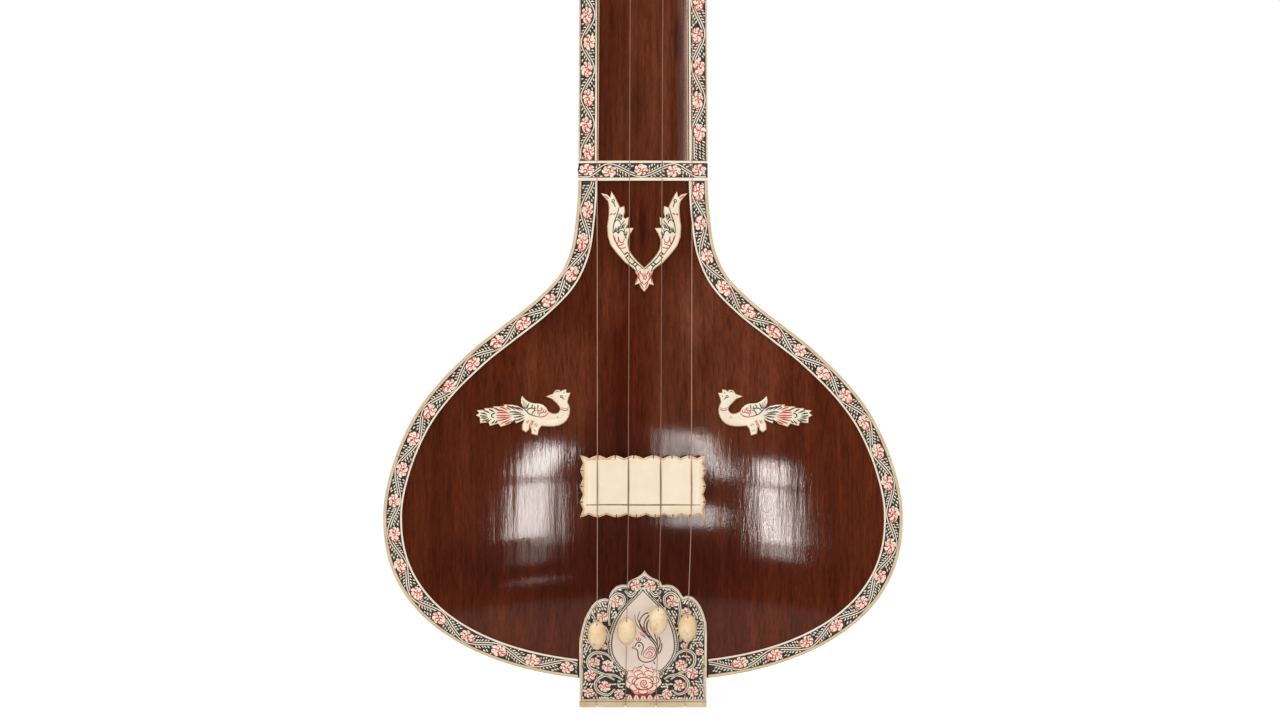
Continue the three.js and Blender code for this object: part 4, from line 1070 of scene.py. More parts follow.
def make_cross_band(name, low_z, high_z):
    """A flowered band across the neck from edge to edge."""
    height = high_z - low_z
    middle = (low_z + high_z) / 2
    wide = float(half_width(middle))

    def place(at, across, lift):
        z = high_z - across
        x = at * half_width(z) / wide
        return np.stack([x, front_y(x, z) - lift, z], axis=-1)

    inlay = Inlay(place, TRIM_TOP)
    us, vs = np.meshgrid(np.linspace(-wide, wide, 41), np.linspace(0, height, 5), indexing="ij")
    inlay.plate(CREAM, us, vs, inlay.top - GAP, GAP)
    stops = BAND_ROSES * wide
    sides = (-1.0) ** np.arange(len(stops))
    flowered_strip(inlay, 2 * wide, BAND_LINE, height - BAND_LOW_LINE, stops, sides, -wide, growth_range=(1, 1.2))
    inlay.make(name + "_inlay", name)


# Cut plates with a drawn outline

def shaped_plate(name, outline, back, front, material, bevel=0.25, zs=(), xs=()):
    """A plate of a drawn outline between back(x, z) and front(x, z), its front edge rounded.

    It is cut at the heights zs and the places xs, so that it can follow a curved front.
    """
    outline = np.asarray(outline, float)
    if signed_area(outline) < 0:
        outline = outline[::-1]
    inward = inset_directions(outline)
    middle_x, middle_z = outline.mean(axis=0)
    thickness = abs(float(back(middle_x, middle_z) - front(middle_x, middle_z)))
    edge = 1 - bevel / thickness
    rings = [(0, 0), (0, edge), (bevel * 0.3, edge + (1 - edge) * 0.7), (bevel, 1)]
    work = bmesh.new()
    loops = [[work.verts.new((x, share, z)) for x, z in outline + inward * inset] for inset, share in rings]
    for low, high in zip(loops, loops[1:]):
        for i in range(len(outline)):
            j = (i + 1) % len(outline)
            work.faces.new((low[i], high[i], high[j], low[j]))
    work.faces.new(loops[-1])
    work.faces.new(loops[0][::-1])
    for places, normal in ((zs, (0, 0, 1)), (xs, (1, 0, 0))):
        for place in places:
            everything = work.verts[:] + work.edges[:] + work.faces[:]
            point = tuple(float(place) * part for part in normal)
            bmesh.ops.bisect_plane(work, geom=everything, dist=1e-5, plane_co=point, plane_no=normal)
    bmesh.ops.triangulate(work, faces=[face for face in work.faces if len(face.verts) > 4])
    for vertex in work.verts:
        x, share, z = vertex.co
        y = float(back(x, z)) * (1 - share) + float(front(x, z)) * share
        vertex.co = Vector((x, y, z)) * MM
    bmesh.ops.recalc_face_normals(work, faces=work.faces)
    mesh = bpy.data.meshes.new(name)
    work.to_mesh(mesh)
    work.free()
    return linked(name, mesh, material)


def signed_area(outline):
    x, z = outline.T
    return (x * np.roll(z, -1) - z * np.roll(x, -1)).sum() / 2


def inset_directions(outline):
    """The way inwards at each corner of an outline that runs anticlockwise."""
    before = outline - np.roll(outline, 1, axis=0)
    after = np.roll(outline, -1, axis=0) - outline
    turn = lambda edge: np.stack([-edge[:, 1], edge[:, 0]], axis=1) / np.linalg.norm(edge, axis=1, keepdims=True)
    mean = turn(before) + turn(after)
    size = np.linalg.norm(mean, axis=1, keepdims=True)
    return mean / np.maximum(size, 0.8)


# Birds

PEACOCK_BODY = [
    (18.3, 11.5), (23.3, 13.1), (25.4, 16.0), (28.2, 16.3), (29.3, 14.9), (30.6, 16.0), (33.4, 16.7),
    (33.4, 14.0), (36.6, 14.2), (34.9, 10.3), (34.2, 7.1), (35.5, 4.2), (36.1, 1.6), (35.9, -1.6),
    (35.0, -4.4), (33.4, -6.9), (31.2, -8.9), (28.2, -10.4), (24.6, -11.2), (19.6, -11.3), (14.4, -10.9),
    (12.2, -13.6), (11.2, -18.4), (7.1, -17.2), (6.5, -12.2), (5.0, -9.6), (4.4, -14.2), (2.2, -15.9),
    (-0.3, -14.0), (-0.2, -10.4), (1.6, -6.3), (-1.0, -5.6), (-2.0, -3.0), (-1.0, 0.6), (0.8, 2.6),
    (8.2, 1.6), (16.0, 1.4), (20.8, -1.1), (22.7, -2.0), (24.9, -2.3), (27.0, -1.7), (28.4, -0.5),
    (29.2, 1.2), (29.2, 2.7), (28.3, 4.3), (26.5, 6.3), (22.8, 9.9),
]
PEACOCK_WING = [
    (-0.8, 11.8), (-1.5, 9.2), (-1.4, 6.6), (-0.4, 4.2), (1.2, 1.6), (3.2, -0.4), (8.2, -3.3), (13.7, -4.4),
    (17.8, -3.7), (20.5, -1.4), (18.1, 2.7), (15.6, 4.9), (12.6, 5.9), (9.2, 6.0), (6.0, 6.5), (3.4, 7.9),
    (1.2, 9.6),
]
PEACOCK_TAIL = [
    (2.0, 0.8), (-3.8, 4.0), (-9.0, 5.1), (-15.3, 5.2), (-14.4, 3.9), (-23.4, 3.6), (-22.4, 2.5), (-30.2, 2.3),
    (-29.4, 1.2), (-36.0, 0.6), (-34.0, -1.4), (-36.6, -3.2), (-33.6, -4.8), (-33.4, -9.3), (-26.8, -8.6),
    (-25.8, -11.5), (-19.4, -9.6), (-17.2, -12.1), (-10.3, -9.8), (-6.4, -7.2), (-5.5, -9.4), (1.4, -6.4),
]
TAIL_BLACK = [
    (-12.5, 4.3, -5.9, 1.0), (-8.7, 3.7, -2.6, 0.7), (-5.1, 3.0, 0.4, 0.5), (-10.3, -0.6, -1.6, -1.3),
    (-8.1, -2.5, 0.1, -2.5), (-7.0, -4.7, 1.3, -3.0), (-5.9, -7.4, 1.0, -4.6), (-9.2, -8.8, -5.4, -6.1),
    (-22.4, 2.4, -17.9, -0.1), (-26.4, 1.3, -22.3, -0.9), (-30.8, 0.4, -25.4, -1.7), (-33.0, -1.5, -27.8, -2.6),
    (-33.4, -3.3, -27.5, -3.7), (-32.4, -5.2, -27.2, -4.8), (-31.8, -7.6, -26.1, -5.8), (-28.8, -8.2, -24.6, -6.3),
    (-24.4, -9.6, -21.7, -6.9), (-21.8, -9.2, -19.6, -6.9),
]
TAIL_RED = [
    (-17.9, 3.2, -11.9, 0.7), (-13.0, 2.8, -9.6, 0.9), (-20.2, 1.2, -12.5, -0.6), (-20.4, -1.2, -10.3, -1.6),
    (-20.7, -3.1, -8.4, -2.9), (-20.4, -5.0, -8.9, -4.2), (-19.3, -7.2, -10.3, -5.0), (-16.9, -9.4, -9.2, -5.8),
    (-13.6, -9.9, -8.3, -6.9),
]
TAIL_EYE = [(-21.5, -1.5), (-23.4, -2.0), (-24.3, -3.1), (-24.1, -4.4), (-22.6, -4.8)]
WING_BLACK = [
    [(-0.7, 3.7), (2.3, 0.5), (5.5, -2.3), (11.0, -4.2)], [(2.8, 1.8), (3.8, 4.0), (4.7, 6.2)],
    [(3.1, 0.2), (4.2, 1.6), (5.8, 2.4), (8.0, 2.4), (9.1, 1.6)], [(6.9, -2.8), (7.5, -1.2), (8.6, 0.2), (10.5, 0.6)],
    [(6.9, 2.9), (7.2, 4.3), (8.3, 5.1)], [(8.6, 0.7), (9.4, 2.4), (9.1, 4.0)], [(11.6, 5.1), (11.7, 3.5), (11.0, 2.1)],
]
WING_RED = [
    [(11.0, -4.2), (14.6, -4.4), (17.9, -3.2), (19.6, -1.2)],
    [(11.3, 1.3), (12.9, 0.2), (14.3, 0.7), (14.9, 2.1), (13.7, 2.9)], [(11.3, -2.0), (11.8, -0.4), (11.3, 1.3)],
    [(12.9, -3.9), (12.5, -2.4), (13.2, -1.3), (14.8, -1.2), (15.9, -0.4), (15.9, 1.0)],
    [(15.9, -0.4), (17.0, -0.9), (17.8, -0.4), (17.9, 0.7)],
]
WING_SHADE = [
    (0.1, 6.7, 2.3, 1.8), (1.2, 7.0, 2.8, 2.9), (2.3, 6.7, 3.6, 3.5), (-0.4, 5.6, 1.4, 2.0), (-0.4, 9.0, 1.0, 6.4),
]


def bird_place(centre_x, centre_z, side):
    def place(u, v, lift):
        x = centre_x + side * np.asarray(u, float)
        z = centre_z + np.asarray(v, float)
        return np.stack([x, front_y(x, z) - lift, z], axis=-1)
    return place


def outlined_plate(name, outlines, centre_x, centre_z, side):
    """One piece made of overlapping cut plates on the front, each a little lower than the one before."""
    parts = []
    for i, outline in enumerate(outlines):
        places = np.asarray(outline, float) * (side, 1) + (centre_x, centre_z)
        top = TRIM_TOP - LEVEL_STEP * i
        zs = np.arange(places[:, 1].min() + 2, places[:, 1].max(), 5)
        xs = np.arange(places[:, 0].min() + 4, places[:, 0].max(), 9)
        parts.append(shaped_plate(
            f"{name}_{i}", places, lambda x, z: front_y(x, z) - GAP, lambda x, z: front_y(x, z) - top, CREAM,
            zs=zs, xs=xs,
        ))
    joined = parts[0]
    with bpy.context.temp_override(active_object=joined, selected_editable_objects=parts):
        bpy.ops.object.join()
    joined.name = name
    return joined


PEACOCK_INSET = 82.5
PEACOCK_Z = 209.9
PEACOCK_SHIFT = {-1: 0.0, 1: 1.9}
RIM_INSET = 0.3
RIM_HALF = 0.2


def make_peacock(name, side):
    centre_x = side * (half_width(PEACOCK_Z) - PEACOCK_INSET) + PEACOCK_SHIFT[side]
    outlines = [PEACOCK_BODY, PEACOCK_TAIL, PEACOCK_WING]
    stand_for(outlined_plate(name + "_plate", outlines, centre_x, PEACOCK_Z, -side), "inlay", name)
    inlay = Inlay(bird_place(centre_x, PEACOCK_Z, -side), TRIM_TOP)
    draw_rim(inlay, PEACOCK_BODY)
    draw_peacock_tail(inlay)
    draw_peacock_wing(inlay)
    draw_peacock_head(inlay)
    inlay.make(name + "_ink")


def draw_rim(inlay, outline):
    """The tan line round a cut plate."""
    outline = np.asarray(outline, float)
    inlay.stroke_round(RIM_TAN, outline + inset_directions(outline) * RIM_INSET, RIM_HALF, 1)


BARB_HALF = [0.36, 0.58, 0.16]
BARB_BEND = 0.35
QUILL_Z = -3


def draw_peacock_tail(inlay):
    """Barbs that leave the quill, black at both ends of the tail and red in its middle."""
    for ink, barbs in ((BLACK_INK, TAIL_BLACK), (RED_INK, TAIL_RED)):
        for u, v, end_u, end_v in barbs:
            bend = BARB_BEND if v > QUILL_Z else -BARB_BEND
            inlay.stroke(ink, spline([(u, v), ((u + end_u) / 2, (v + end_v) / 2 + bend), (end_u, end_v)], 3), BARB_HALF)
    inlay.stroke(BLACK_INK, spline(TAIL_EYE, 4), [0.34, 0.5, 0.34], 3)
    tail = np.array(PEACOCK_TAIL)
    inlay.stroke(RIM_TAN, (tail + inset_directions(tail) * 0.25)[2:-1], 0.22, 1)


def draw_peacock_wing(inlay):
    for ink, lines in ((BLACK_INK, WING_BLACK), (RED_INK, WING_RED)):
        for line in lines:
            inlay.stroke(ink, spline(line, 4), [0.28, 0.42, 0.28])
    for u, v, end_u, end_v in WING_SHADE:
        inlay.stroke(BLACK_INK, [(u, v), ((u + end_u) / 2 + 0.2, (v + end_v) / 2), (end_u, end_v)], [0.06, 0.14, 0.26])


PEACOCK_EYE = (29.8, 11.4)
PEACOCK_HEAD = [
    (BLACK_INK, [(24.9, 14.6), (26.6, 15.3), (28.6, 14.8)], [0.15, 0.34, 0.15]),
    (RED_INK, [(29.6, 1.7), (31.6, 0.7), (33.6, 0.8), (35.2, 1.7)], 0.36),
    (RED_INK, [(29.6, 3.1), (31.6, 2.1), (33.6, 2.2), (35.2, 3.1)], 0.18),
]
PEACOCK_LEG_LINES = [
    (4.8, -6.6, 3.2, -9.8), (3.6, -7.0, 2.4, -9.0), (10.3, -9.1, 8.9, -11.4), (11.6, -9.7, 10.3, -12.0),
    (8.7, -13.8, 9.3, -15.2), (9.3, -15.2, 10.6, -15.4),
]


def draw_peacock_head(inlay):
    inlay.stroke(BLACK_INK, around(0.85, np.linspace(0, 2 * np.pi, 12)) + PEACOCK_EYE, 0.3)
    inlay.stroke(BLACK_INK, [(30.4, 10.7), (31.4, 9.8), (32.6, 8.9)], [0.44, 0.34, 0.12])
    for ink, line, half in PEACOCK_HEAD:
        inlay.stroke(ink, spline(line, 4), half)
    for u, v in ((31.8, 14.4), (33.2, 11.8)):
        inlay.stroke(RED_INK, [(u - 0.2, v - 0.8), (u + 0.1, v), (u + 0.3, v + 0.8)], [0.15, 0.4, 0.15])
    inlay.stroke(RIM_TAN, [(21.4, 11.5), (23.2, 11.4)], 0.3)
    inlay.dot(BROWN_INK, 26.9, -4.6, 0.5)
    for line in PEACOCK_LEG_LINES:
        inlay.tick(RED_INK, *line, [0.15, 0.32, 0.15])
    inlay.stroke(RIM_TAN, spline([(7.6, -7.2), (6.4, -8.6), (5.9, -10.6), (5.6, -12.6)], 3), [0.9, 0.8, 0.3])
    inlay.stroke(BROWN_INK, spline([(8.6, -7.4), (7.4, -9.0), (6.8, -11.0)], 3), [0.2, 0.25, 0.1], 3)


SONGBIRD = [
    (-33.2, 37.0), (-28.7, 35.8), (-26.2, 33.6), (-25.4, 38.3), (-23.4, 34.9), (-21.6, 31.2), (-19.7, 27.4),
    (-19.2, 25.6), (-15.7, 26.9), (-15.4, 22.9), (-16.4, 18.8), (-15.0, 17.0), (-12.3, 18.4), (-12.8, 13.2),
    (-14.8, 9.6), (-13.0, 9.9), (-8.5, 9.9), (-11.3, 5.8), (-13.0, 1.4), (-13.1, -2.4),
    (-12.3, -6.4), (-10.4, -10.0), (-8.0, -13.2), (-5.2, -16.4), (-2.2, -19.3), (0.0, -21.3), (0.6, -25.2),
    (-6.0, -25.6), (-6.6, -22.6), (-9.0, -20.2), (-14.6, -16.2), (-20.8, -9.4), (-25.5, -3.2), (-27.8, 3.5),
    (-28.3, 11.5), (-27.6, 16.4), (-27.1, 20.6), (-27.0, 26.8), (-27.9, 31.2), (-30.4, 34.2),
]
SONGBIRD_BLACK = [
    [(-25.0, 32.0), (-23.8, 32.5), (-23.2, 31.2), (-23.6, 29.9), (-22.8, 27.7), (-22.4, 26.4)],
    [(-25.0, 32.0), (-25.0, 30.6), (-24.0, 29.9)],
    [(-19.6, 26.0), (-21.0, 20.6), (-22.7, 16.1), (-23.9, 11.5), (-24.3, 6.4)],
    [(-22.9, 14.6), (-21.8, 16.2), (-20.4, 16.4), (-19.0, 15.4), (-18.4, 13.6)],
    [(-24.0, 5.8), (-23.3, 7.0), (-21.8, 7.4), (-20.3, 6.2)],
    [(-19.6, 6.2), (-18.7, 7.8), (-17.0, 8.1), (-15.6, 6.4)], [(-19.8, 11.5), (-20.0, 8.6), (-20.1, 5.6)],
    [(-15.3, 9.2), (-15.5, 6.6), (-15.2, 4.0)], [(-15.2, 15.9), (-18.2, 11.9), (-19.6, 8.4)],
    [(-17.7, 20.8), (-17.4, 19.0)], [(-14.8, 3.6), (-13.9, 2.0)], [(-15.6, -10.6), (-12.9, -8.8)],
    [(-14.4, -12.9), (-11.0, -16.9), (-7.2, -19.8), (-5.4, -23.9)],
    [(-12.9, -8.9), (-9.9, -13.3), (-5.5, -17.7), (-0.8, -21.6)], [(-14.4, -13.0), (-12.2, -11.0)],
    [(-9.5, -18.3), (-7.2, -16.6)], [(-7.6, -20.2), (-5.4, -18.4)],
]
SONGBIRD_RED = [
    [(-30.9, 35.4), (-29.0, 34.2), (-27.4, 32.8)], [(-26.2, 20.1), (-25.0, 21.5)], [(-24.1, 20.6), (-22.0, 21.6)],
    [(-24.2, 5.0), (-23.1, 1.3), (-20.6, -3.4), (-17.6, -7.4), (-14.9, -11.0)],
    [(-23.0, 3.5), (-22.3, 0.3), (-21.0, -1.9), (-20.1, -0.2), (-20.2, 3.5)],
    [(-20.1, 3.5), (-19.3, 0.3), (-17.6, -1.4), (-15.9, -0.2), (-15.4, 2.0)],
    [(-21.1, -3.5), (-18.4, -3.3), (-15.4, -2.0)], [(-20.0, -5.2), (-17.0, -5.6), (-14.2, -4.8)],
]
SONGBIRD_SHADE = [
    (-19.4, 21.4, -20.4, 17.6), (-18.6, 21.6, -19.6, 17.4), (-17.8, 21.0, -18.8, 16.8), (-16.9, 20.2, -18.0, 16.2),
    (-15.2, 13.6, -17.4, 10.0), (-14.4, 13.8, -16.4, 9.6), (-16.2, 13.0, -18.2, 9.4), (-13.6, 7.6, -14.8, 4.4),
    (-12.8, 7.2, -14.2, 3.8), (-21.4, 10.6, -22.2, 7.8), (-22.4, 10.8, -23.0, 7.6), (-20.6, 10.4, -21.2, 7.8),
]
SONGBIRD_ROSE = [
    (-6.2, -24.4), (-5.0, -27.4), (-6.2, -30.0), (-7.2, -34.3), (-4.0, -33.0), (-2.6, -36.4), (0, -39.4),
    (2.6, -36.4), (4.2, -33.4), (7.4, -34.5), (6.2, -30.0), (5.2, -27.4), (6.2, -24.4), (3.6, -21.6),
    (0, -21.0), (-3.6, -21.6),
]
SONGBIRD_ROSE_LINES = [
    [(3.3, -23.2), (2.7, -25.2), (1.2, -25.9)], [(5.2, -27.0), (3.7, -29.8), (2.0, -32.7)],
    [(4.4, -24.4), (4.3, -26.4), (3.3, -27.8)], [(5.4, -28.4), (5.9, -32.4)], [(3.0, -32.4), (0.5, -37.0)],
    [(1.9, -31.8), (0.2, -34.2)],
]
SONGBIRD_X = 0.9
SONGBIRD_Z = 342


def make_twin_birds():
    right = [(-u, v) for u, v in SONGBIRD]
    plate = outlined_plate("twin_birds_plate", [SONGBIRD, right, SONGBIRD_ROSE], SONGBIRD_X, SONGBIRD_Z, 1)
    stand_for(plate, "inlay", "twin_birds")
    for name, side, draw in (
        ("songbird_ink_left", 1, draw_songbird), ("songbird_ink_right", -1, draw_songbird),
        ("songbird_rose_ink", 1, draw_joining_rose),
    ):
        inlay = Inlay(bird_place(SONGBIRD_X, SONGBIRD_Z, side), TRIM_TOP)
        draw(inlay)
        inlay.make(name)


def draw_songbird(inlay):
    draw_rim(inlay, SONGBIRD[:-1])
    for ink, lines in ((BLACK_INK, SONGBIRD_BLACK), (RED_INK, SONGBIRD_RED)):
        for line in lines:
            short = len(line) == 2
            inlay.stroke(ink, line if short else spline(line, 4), 0.5 if short else [0.3, 0.42, 0.3])
    for u, v, end_u, end_v in SONGBIRD_SHADE:
        inlay.stroke(BLACK_INK, [(u, v), (end_u, end_v)], [0.16, 0.42])


def draw_joining_rose(inlay):
    draw_rim(inlay, SONGBIRD_ROSE)
    coil = np.linspace(0, 1, 14)
    inlay.stroke(RED_INK, around(0.3 + 2.0 * coil, 9 * coil) + (0.2, -28.4), 0.42)
    for side in (-1, 1):
        for line in SONGBIRD_ROSE_LINES:
            line = np.array(line) * (side, 1)
            inlay.stroke(RED_INK, line if len(line) == 2 else spline(line, 3), [0.5, 0.5, 0.2])


for side, word in ((-1, "left"), (1, "right")):
    make_body_border("body_border_" + word, side)
    make_neck_border("neck_border_" + word, side)
    make_peacock("peacock_" + word, side)
make_cross_band("joint_band", band_low[2], band_high[2])
make_cross_band("head_band", head_band_low[2], head_band_high[2])
make_twin_birds()


# Bridge

BRIDGE_AT = (bridge_low[2] + bridge_high[2]) / 2
BRIDGE_HALF_X = (bridge_high[0] - bridge_low[0]) / 2
BRIDGE_HALF_Z = (bridge_high[2] - bridge_low[2]) / 2
LOBE_DEPTH = 2.3
LOBE_ROUND = 1.55
SIDE_LOBE_ROUND = 1.15
SLIT_HALF = 0.5
SLIT_FOOT_HALF = 0.4
SLIT_DEPTH = 2.0
SLIT_LINE = np.array([0.3, 1.3, 2.4])
SLIT_LINE_HALF = [0.5, 0.48, 0.36]
BRIDGE_CHAMFER = 3.4
BRIDGE_CHAMFER_DROP = 1.5
BRIDGE_DROOP = 0.9
BRIDGE_HOLLOW = 0.35
BRIDGE_LIP = 0.5
BRIDGE_LINE_UP = 9.5
BRIDGE_BEVEL = 0.35
BRIDGE_RIM_INSET = 0.75
LEFT_SHADE_IN_X = 2.7
TOP_SHADE_IN_Z = 2.9
WEAR_AND_SHADOW_SHORT = 1.4
WEAR_AND_SHADOW_POINTS = 24
WEAR_AND_SHADOW_SWAY = 0.018
TOP_CUSPS = [-41.0, -27.9, -14.4, 0.3, 15.4, 28.7, 41.3]
FOOT_CUSPS = [-41.3, -27.9, -12.6, 2.3, 16.2, 29.2, 42.2]
SIDE_CUSPS = [-17.5, -6.1, 6.3, 17.7]
STRING_SPREAD = 74
BRIDGE_STRING_SHARES = [-0.469, -0.151, 0.182, 0.497]
NUT_STRING_SHARES = [-0.49, -0.101, 0.243, 0.534]


def lobed_edge(half, cusps, slits, roundness=LOBE_ROUND):
    """Places along an edge and how far it stands back there: round lobes between cusps, with saw slits if wanted."""
    ends = [-half, *cusps, half]
    rows = []
    for i, (low, high) in enumerate(zip(ends, ends[1:])):
        middle, reach = (low + high) / 2, (high - low) / 2
        shares = (-0.8, -0.6, -0.4, -0.2, 0.2, 0.4, 0.6, 0.8)
        if i == 0:
            middle, reach, shares = low, high - low, (0.35, 0.7)
        elif i == len(ends) - 2:
            middle, reach, shares = high, high - low, (-0.7, -0.35)
        places = [low] + [middle + reach * share for share in shares]
        lobe = [(place, LOBE_DEPTH * (abs(place - middle) / reach) ** roundness) for place in places]
        if slits and 0 < i < len(ends) - 2:
            slit = [(-SLIT_HALF, 0.0), (-SLIT_FOOT_HALF, SLIT_DEPTH), (SLIT_FOOT_HALF, SLIT_DEPTH), (SLIT_HALF, 0.0)]
            lobe[5:5] = [(middle + off, back) for off, back in slit]
        rows += lobe
    return rows


def bridge_outline(slits=True):
    """Anticlockwise from the foot's left corner."""
    lines = []
    for half, other, cusps, roundness, along, out in (
        (BRIDGE_HALF_X, BRIDGE_HALF_Z, FOOT_CUSPS, LOBE_ROUND, (1, 0), (0, -1)),
        (BRIDGE_HALF_Z, BRIDGE_HALF_X, SIDE_CUSPS, SIDE_LOBE_ROUND, (0, 1), (1, 0)),
        (BRIDGE_HALF_X, BRIDGE_HALF_Z, TOP_CUSPS, LOBE_ROUND, (1, 0), (0, 1)),
        (BRIDGE_HALF_Z, BRIDGE_HALF_X, SIDE_CUSPS, SIDE_LOBE_ROUND, (0, 1), (-1, 0)),
    ):
        places, backs = np.array(lobed_edge(half, cusps, slits, roundness)).T
        line = np.outer(places, along) + np.outer(other - backs, out)
        if len(lines) > 1:
            corner = np.multiply(half, along) + np.multiply(other, out)
            line = np.vstack([corner, line[:0:-1]])
        lines.append(line)
    return np.vstack(lines) + (0, BRIDGE_AT)


def bridge_top(x, z):
    """Top of the bridge: nearly flat under the strings, falling to its chamfered edges."""
    x = np.asarray(x, float)
    up = np.asarray(z, float) - BRIDGE_AT
    droop = BRIDGE_DROOP * (np.abs(x) / BRIDGE_HALF_X) ** 4
    hollow = BRIDGE_HOLLOW * (up / BRIDGE_HALF_Z) ** 2
    over = np.maximum(
        np.abs(x) - (BRIDGE_HALF_X - BRIDGE_CHAMFER), np.abs(up) - (BRIDGE_HALF_Z - BRIDGE_CHAMFER),
    )
    chamfer = BRIDGE_CHAMFER_DROP * np.clip(over / BRIDGE_CHAMFER, 0, 1)
    lip = BRIDGE_LIP * np.clip((-up - BRIDGE_HALF_Z + BRIDGE_LINE_UP) / BRIDGE_LINE_UP, 0, 1)
    return bridge_low[1] + droop + hollow + chamfer + lip


def make_bridge():
    edge_x = BRIDGE_HALF_X - BRIDGE_CHAMFER
    edge_z = BRIDGE_HALF_Z - BRIDGE_CHAMFER
    zs = np.linspace(-edge_z, edge_z, 14) + BRIDGE_AT
    xs = np.linspace(-edge_x, edge_x, 24)
    back = lambda x, z: bridge_high[1]
    plate = shaped_plate("bridge_top", bridge_outline(), back, bridge_top, IVORY, BRIDGE_BEVEL, zs, xs)
    stand_for(plate, "ivory_plate", "bridge_plate")
    inlay = Inlay(lambda u, v, lift: np.stack([u, bridge_top(u, v) - lift, v], axis=-1), 0)
    line_z = BRIDGE_AT - BRIDGE_HALF_Z + BRIDGE_LINE_UP
    scored = [(-45.3, line_z), (-22, line_z + 0.2), (0, line_z), (22, line_z + 0.1), (43.5, line_z)]
    inlay.stroke(SCORE, spline(scored, 10), [0.4, 0.56, 0.56, 0.56, 0.3], 0.8)
    draw_bridge_edge(inlay)
    # Under each string a dark line: its worn groove with the string's painted shadow.
    reach = BRIDGE_HALF_Z - WEAR_AND_SHADOW_SHORT
    vs = np.linspace(BRIDGE_AT - reach, BRIDGE_AT + reach, WEAR_AND_SHADOW_POINTS)
    for share in BRIDGE_STRING_SHARES:
        us = share * STRING_SPREAD + WEAR_AND_SHADOW_SWAY * rng.standard_normal(WEAR_AND_SHADOW_POINTS).cumsum()
        inlay.stroke(STRING_WEAR_AND_SHADOW, np.stack([us, vs], axis=1), [0.34, 0.56, 0.62, 0.56, 0.34], 0.5)
    inlay.make("bridge_lines")


def draw_bridge_edge(inlay):
    """Painted shade round the bevelled rim, deeper at its left end and along its upper left edge, and dark lines over
    the saw slits, painted shade in them.
    """
    rim = bridge_outline(slits=False)
    inlay.stroke_round(BEVEL_SHADE, rim + inset_directions(rim) * BRIDGE_RIM_INSET, 0.5, 5)
    # Extra painted shade along the left end and the upper left edge.
    u = LEFT_SHADE_IN_X - BRIDGE_HALF_X
    v = BRIDGE_AT + BRIDGE_HALF_Z - TOP_SHADE_IN_Z
    inlay.stroke(BEVEL_SHADE, [(u, BRIDGE_AT + up) for up in (-17, 3, 19)], [0.3, 0.5, 0.62], 4)
    inlay.stroke(BEVEL_SHADE, [(-44, v), (-36, v + 0.3), (-27, v + 0.1), (-20, v)], [0.6, 0.6, 0.45, 0.1], 4)
    # Dark lines laid over the saw slits: painted shade in them.
    for cusps, half, order in (
        (TOP_CUSPS, BRIDGE_HALF_Z, 1), (FOOT_CUSPS, -BRIDGE_HALF_Z, 1),
        (SIDE_CUSPS, BRIDGE_HALF_X, -1), (SIDE_CUSPS, -BRIDGE_HALF_X, -1),
    ):
        depths = half - math.copysign(1, half) * SLIT_LINE
        for low, high in zip(cusps, cusps[1:]):
            line = np.stack([np.full(len(depths), (low + high) / 2), depths], axis=1)
            inlay.stroke(STRING_WEAR_AND_SHADOW, line[:, ::order] + (0, BRIDGE_AT), SLIT_LINE_HALF, 6)


FOOT_WIDTH = 24
FOOT_HEIGHT = 17


def make_bridge_base():
    half_x, half_z = (base_high - base_low)[[0, 2]] / 2
    arch = half_x - FOOT_WIDTH
    foot = np.linspace(arch, half_x, 8)[1:]
    x = np.concatenate([-foot[::-1], np.linspace(-arch, arch, 41), foot])
    z, x = np.meshgrid(np.linspace(BRIDGE_AT - half_z, BRIDGE_AT + half_z, 12), x, indexing="ij")
    rise = FOOT_HEIGHT * np.sqrt(np.maximum(0, 1 - np.minimum(1, np.abs(x) / arch) ** 2))
    over = np.stack([x, np.full_like(x, base_low[1]), z], axis=-1)
    stand_for(slab("bridge_stand", over, on_front(x, z, GAP + rise), PEG_WOOD), "lacquered_wood", "bridge_base")


# Bars across the neck

BAR_ROUND = 2.2
BAR_END_FALL = 1.5
BAR_END_IN = 0.4
BAR_CREST_POWER = 0.75
BAR_SMOOTH_ANGLE = 40
GUIDE_HOLE_RADIUS = 1.2
GUIDE_HOLE_REACH = 6
GUIDE_HOLE_DOWN = 4


def make_face_bar(name, node, holes=()):
    """The nut and the string guide: bars with a rounded top and rounded ends, fitted to the face."""
    low, high = node_box(node)
    centre = (low[2] + high[2]) / 2
    half_x, half_z = (high - low)[[0, 2]] / 2
    flat = half_x - BAR_ROUND
    crest = np.linspace(0, np.pi, 13)

    def loop(x):
        end = max(0.0, (abs(x) - flat) / BAR_ROUND)
        fall = BAR_END_FALL * (1 - math.sqrt(max(0.0, 1 - end * end)))
        foot = float(front_y(x, centre)) - GAP
        half = half_z - BAR_END_IN * end
        y = np.concatenate([[foot], low[1] + fall + BAR_ROUND * (1 - np.sin(crest) ** BAR_CREST_POWER), [foot]])
        z = np.concatenate([[centre + half], centre + half * np.cos(crest), [centre - half]])
        return np.column_stack([np.full(len(y), x), y, z])

    ends = flat + BAR_ROUND * np.sin(np.linspace(0, np.pi / 2, 7))
    loops = [loop(x) for x in (*-ends[::-1], *np.linspace(-flat, flat, 36)[1:-1], *ends)]
    bar = new_object(name, np.vstack(loops), tube_faces(len(loops), len(loops[0])), IVORY, BAR_SMOOTH_ANGLE)
    weld(bar.data, 0.001)
    if holes:
        cut_away(bar, [
            drill((x, y, centre), (0, 0, 1), GUIDE_HOLE_RADIUS, -GUIDE_HOLE_REACH, GUIDE_HOLE_REACH) for x, y in holes
        ])
    stand_for(bar, "ivory_plate", node)


# Tail facing

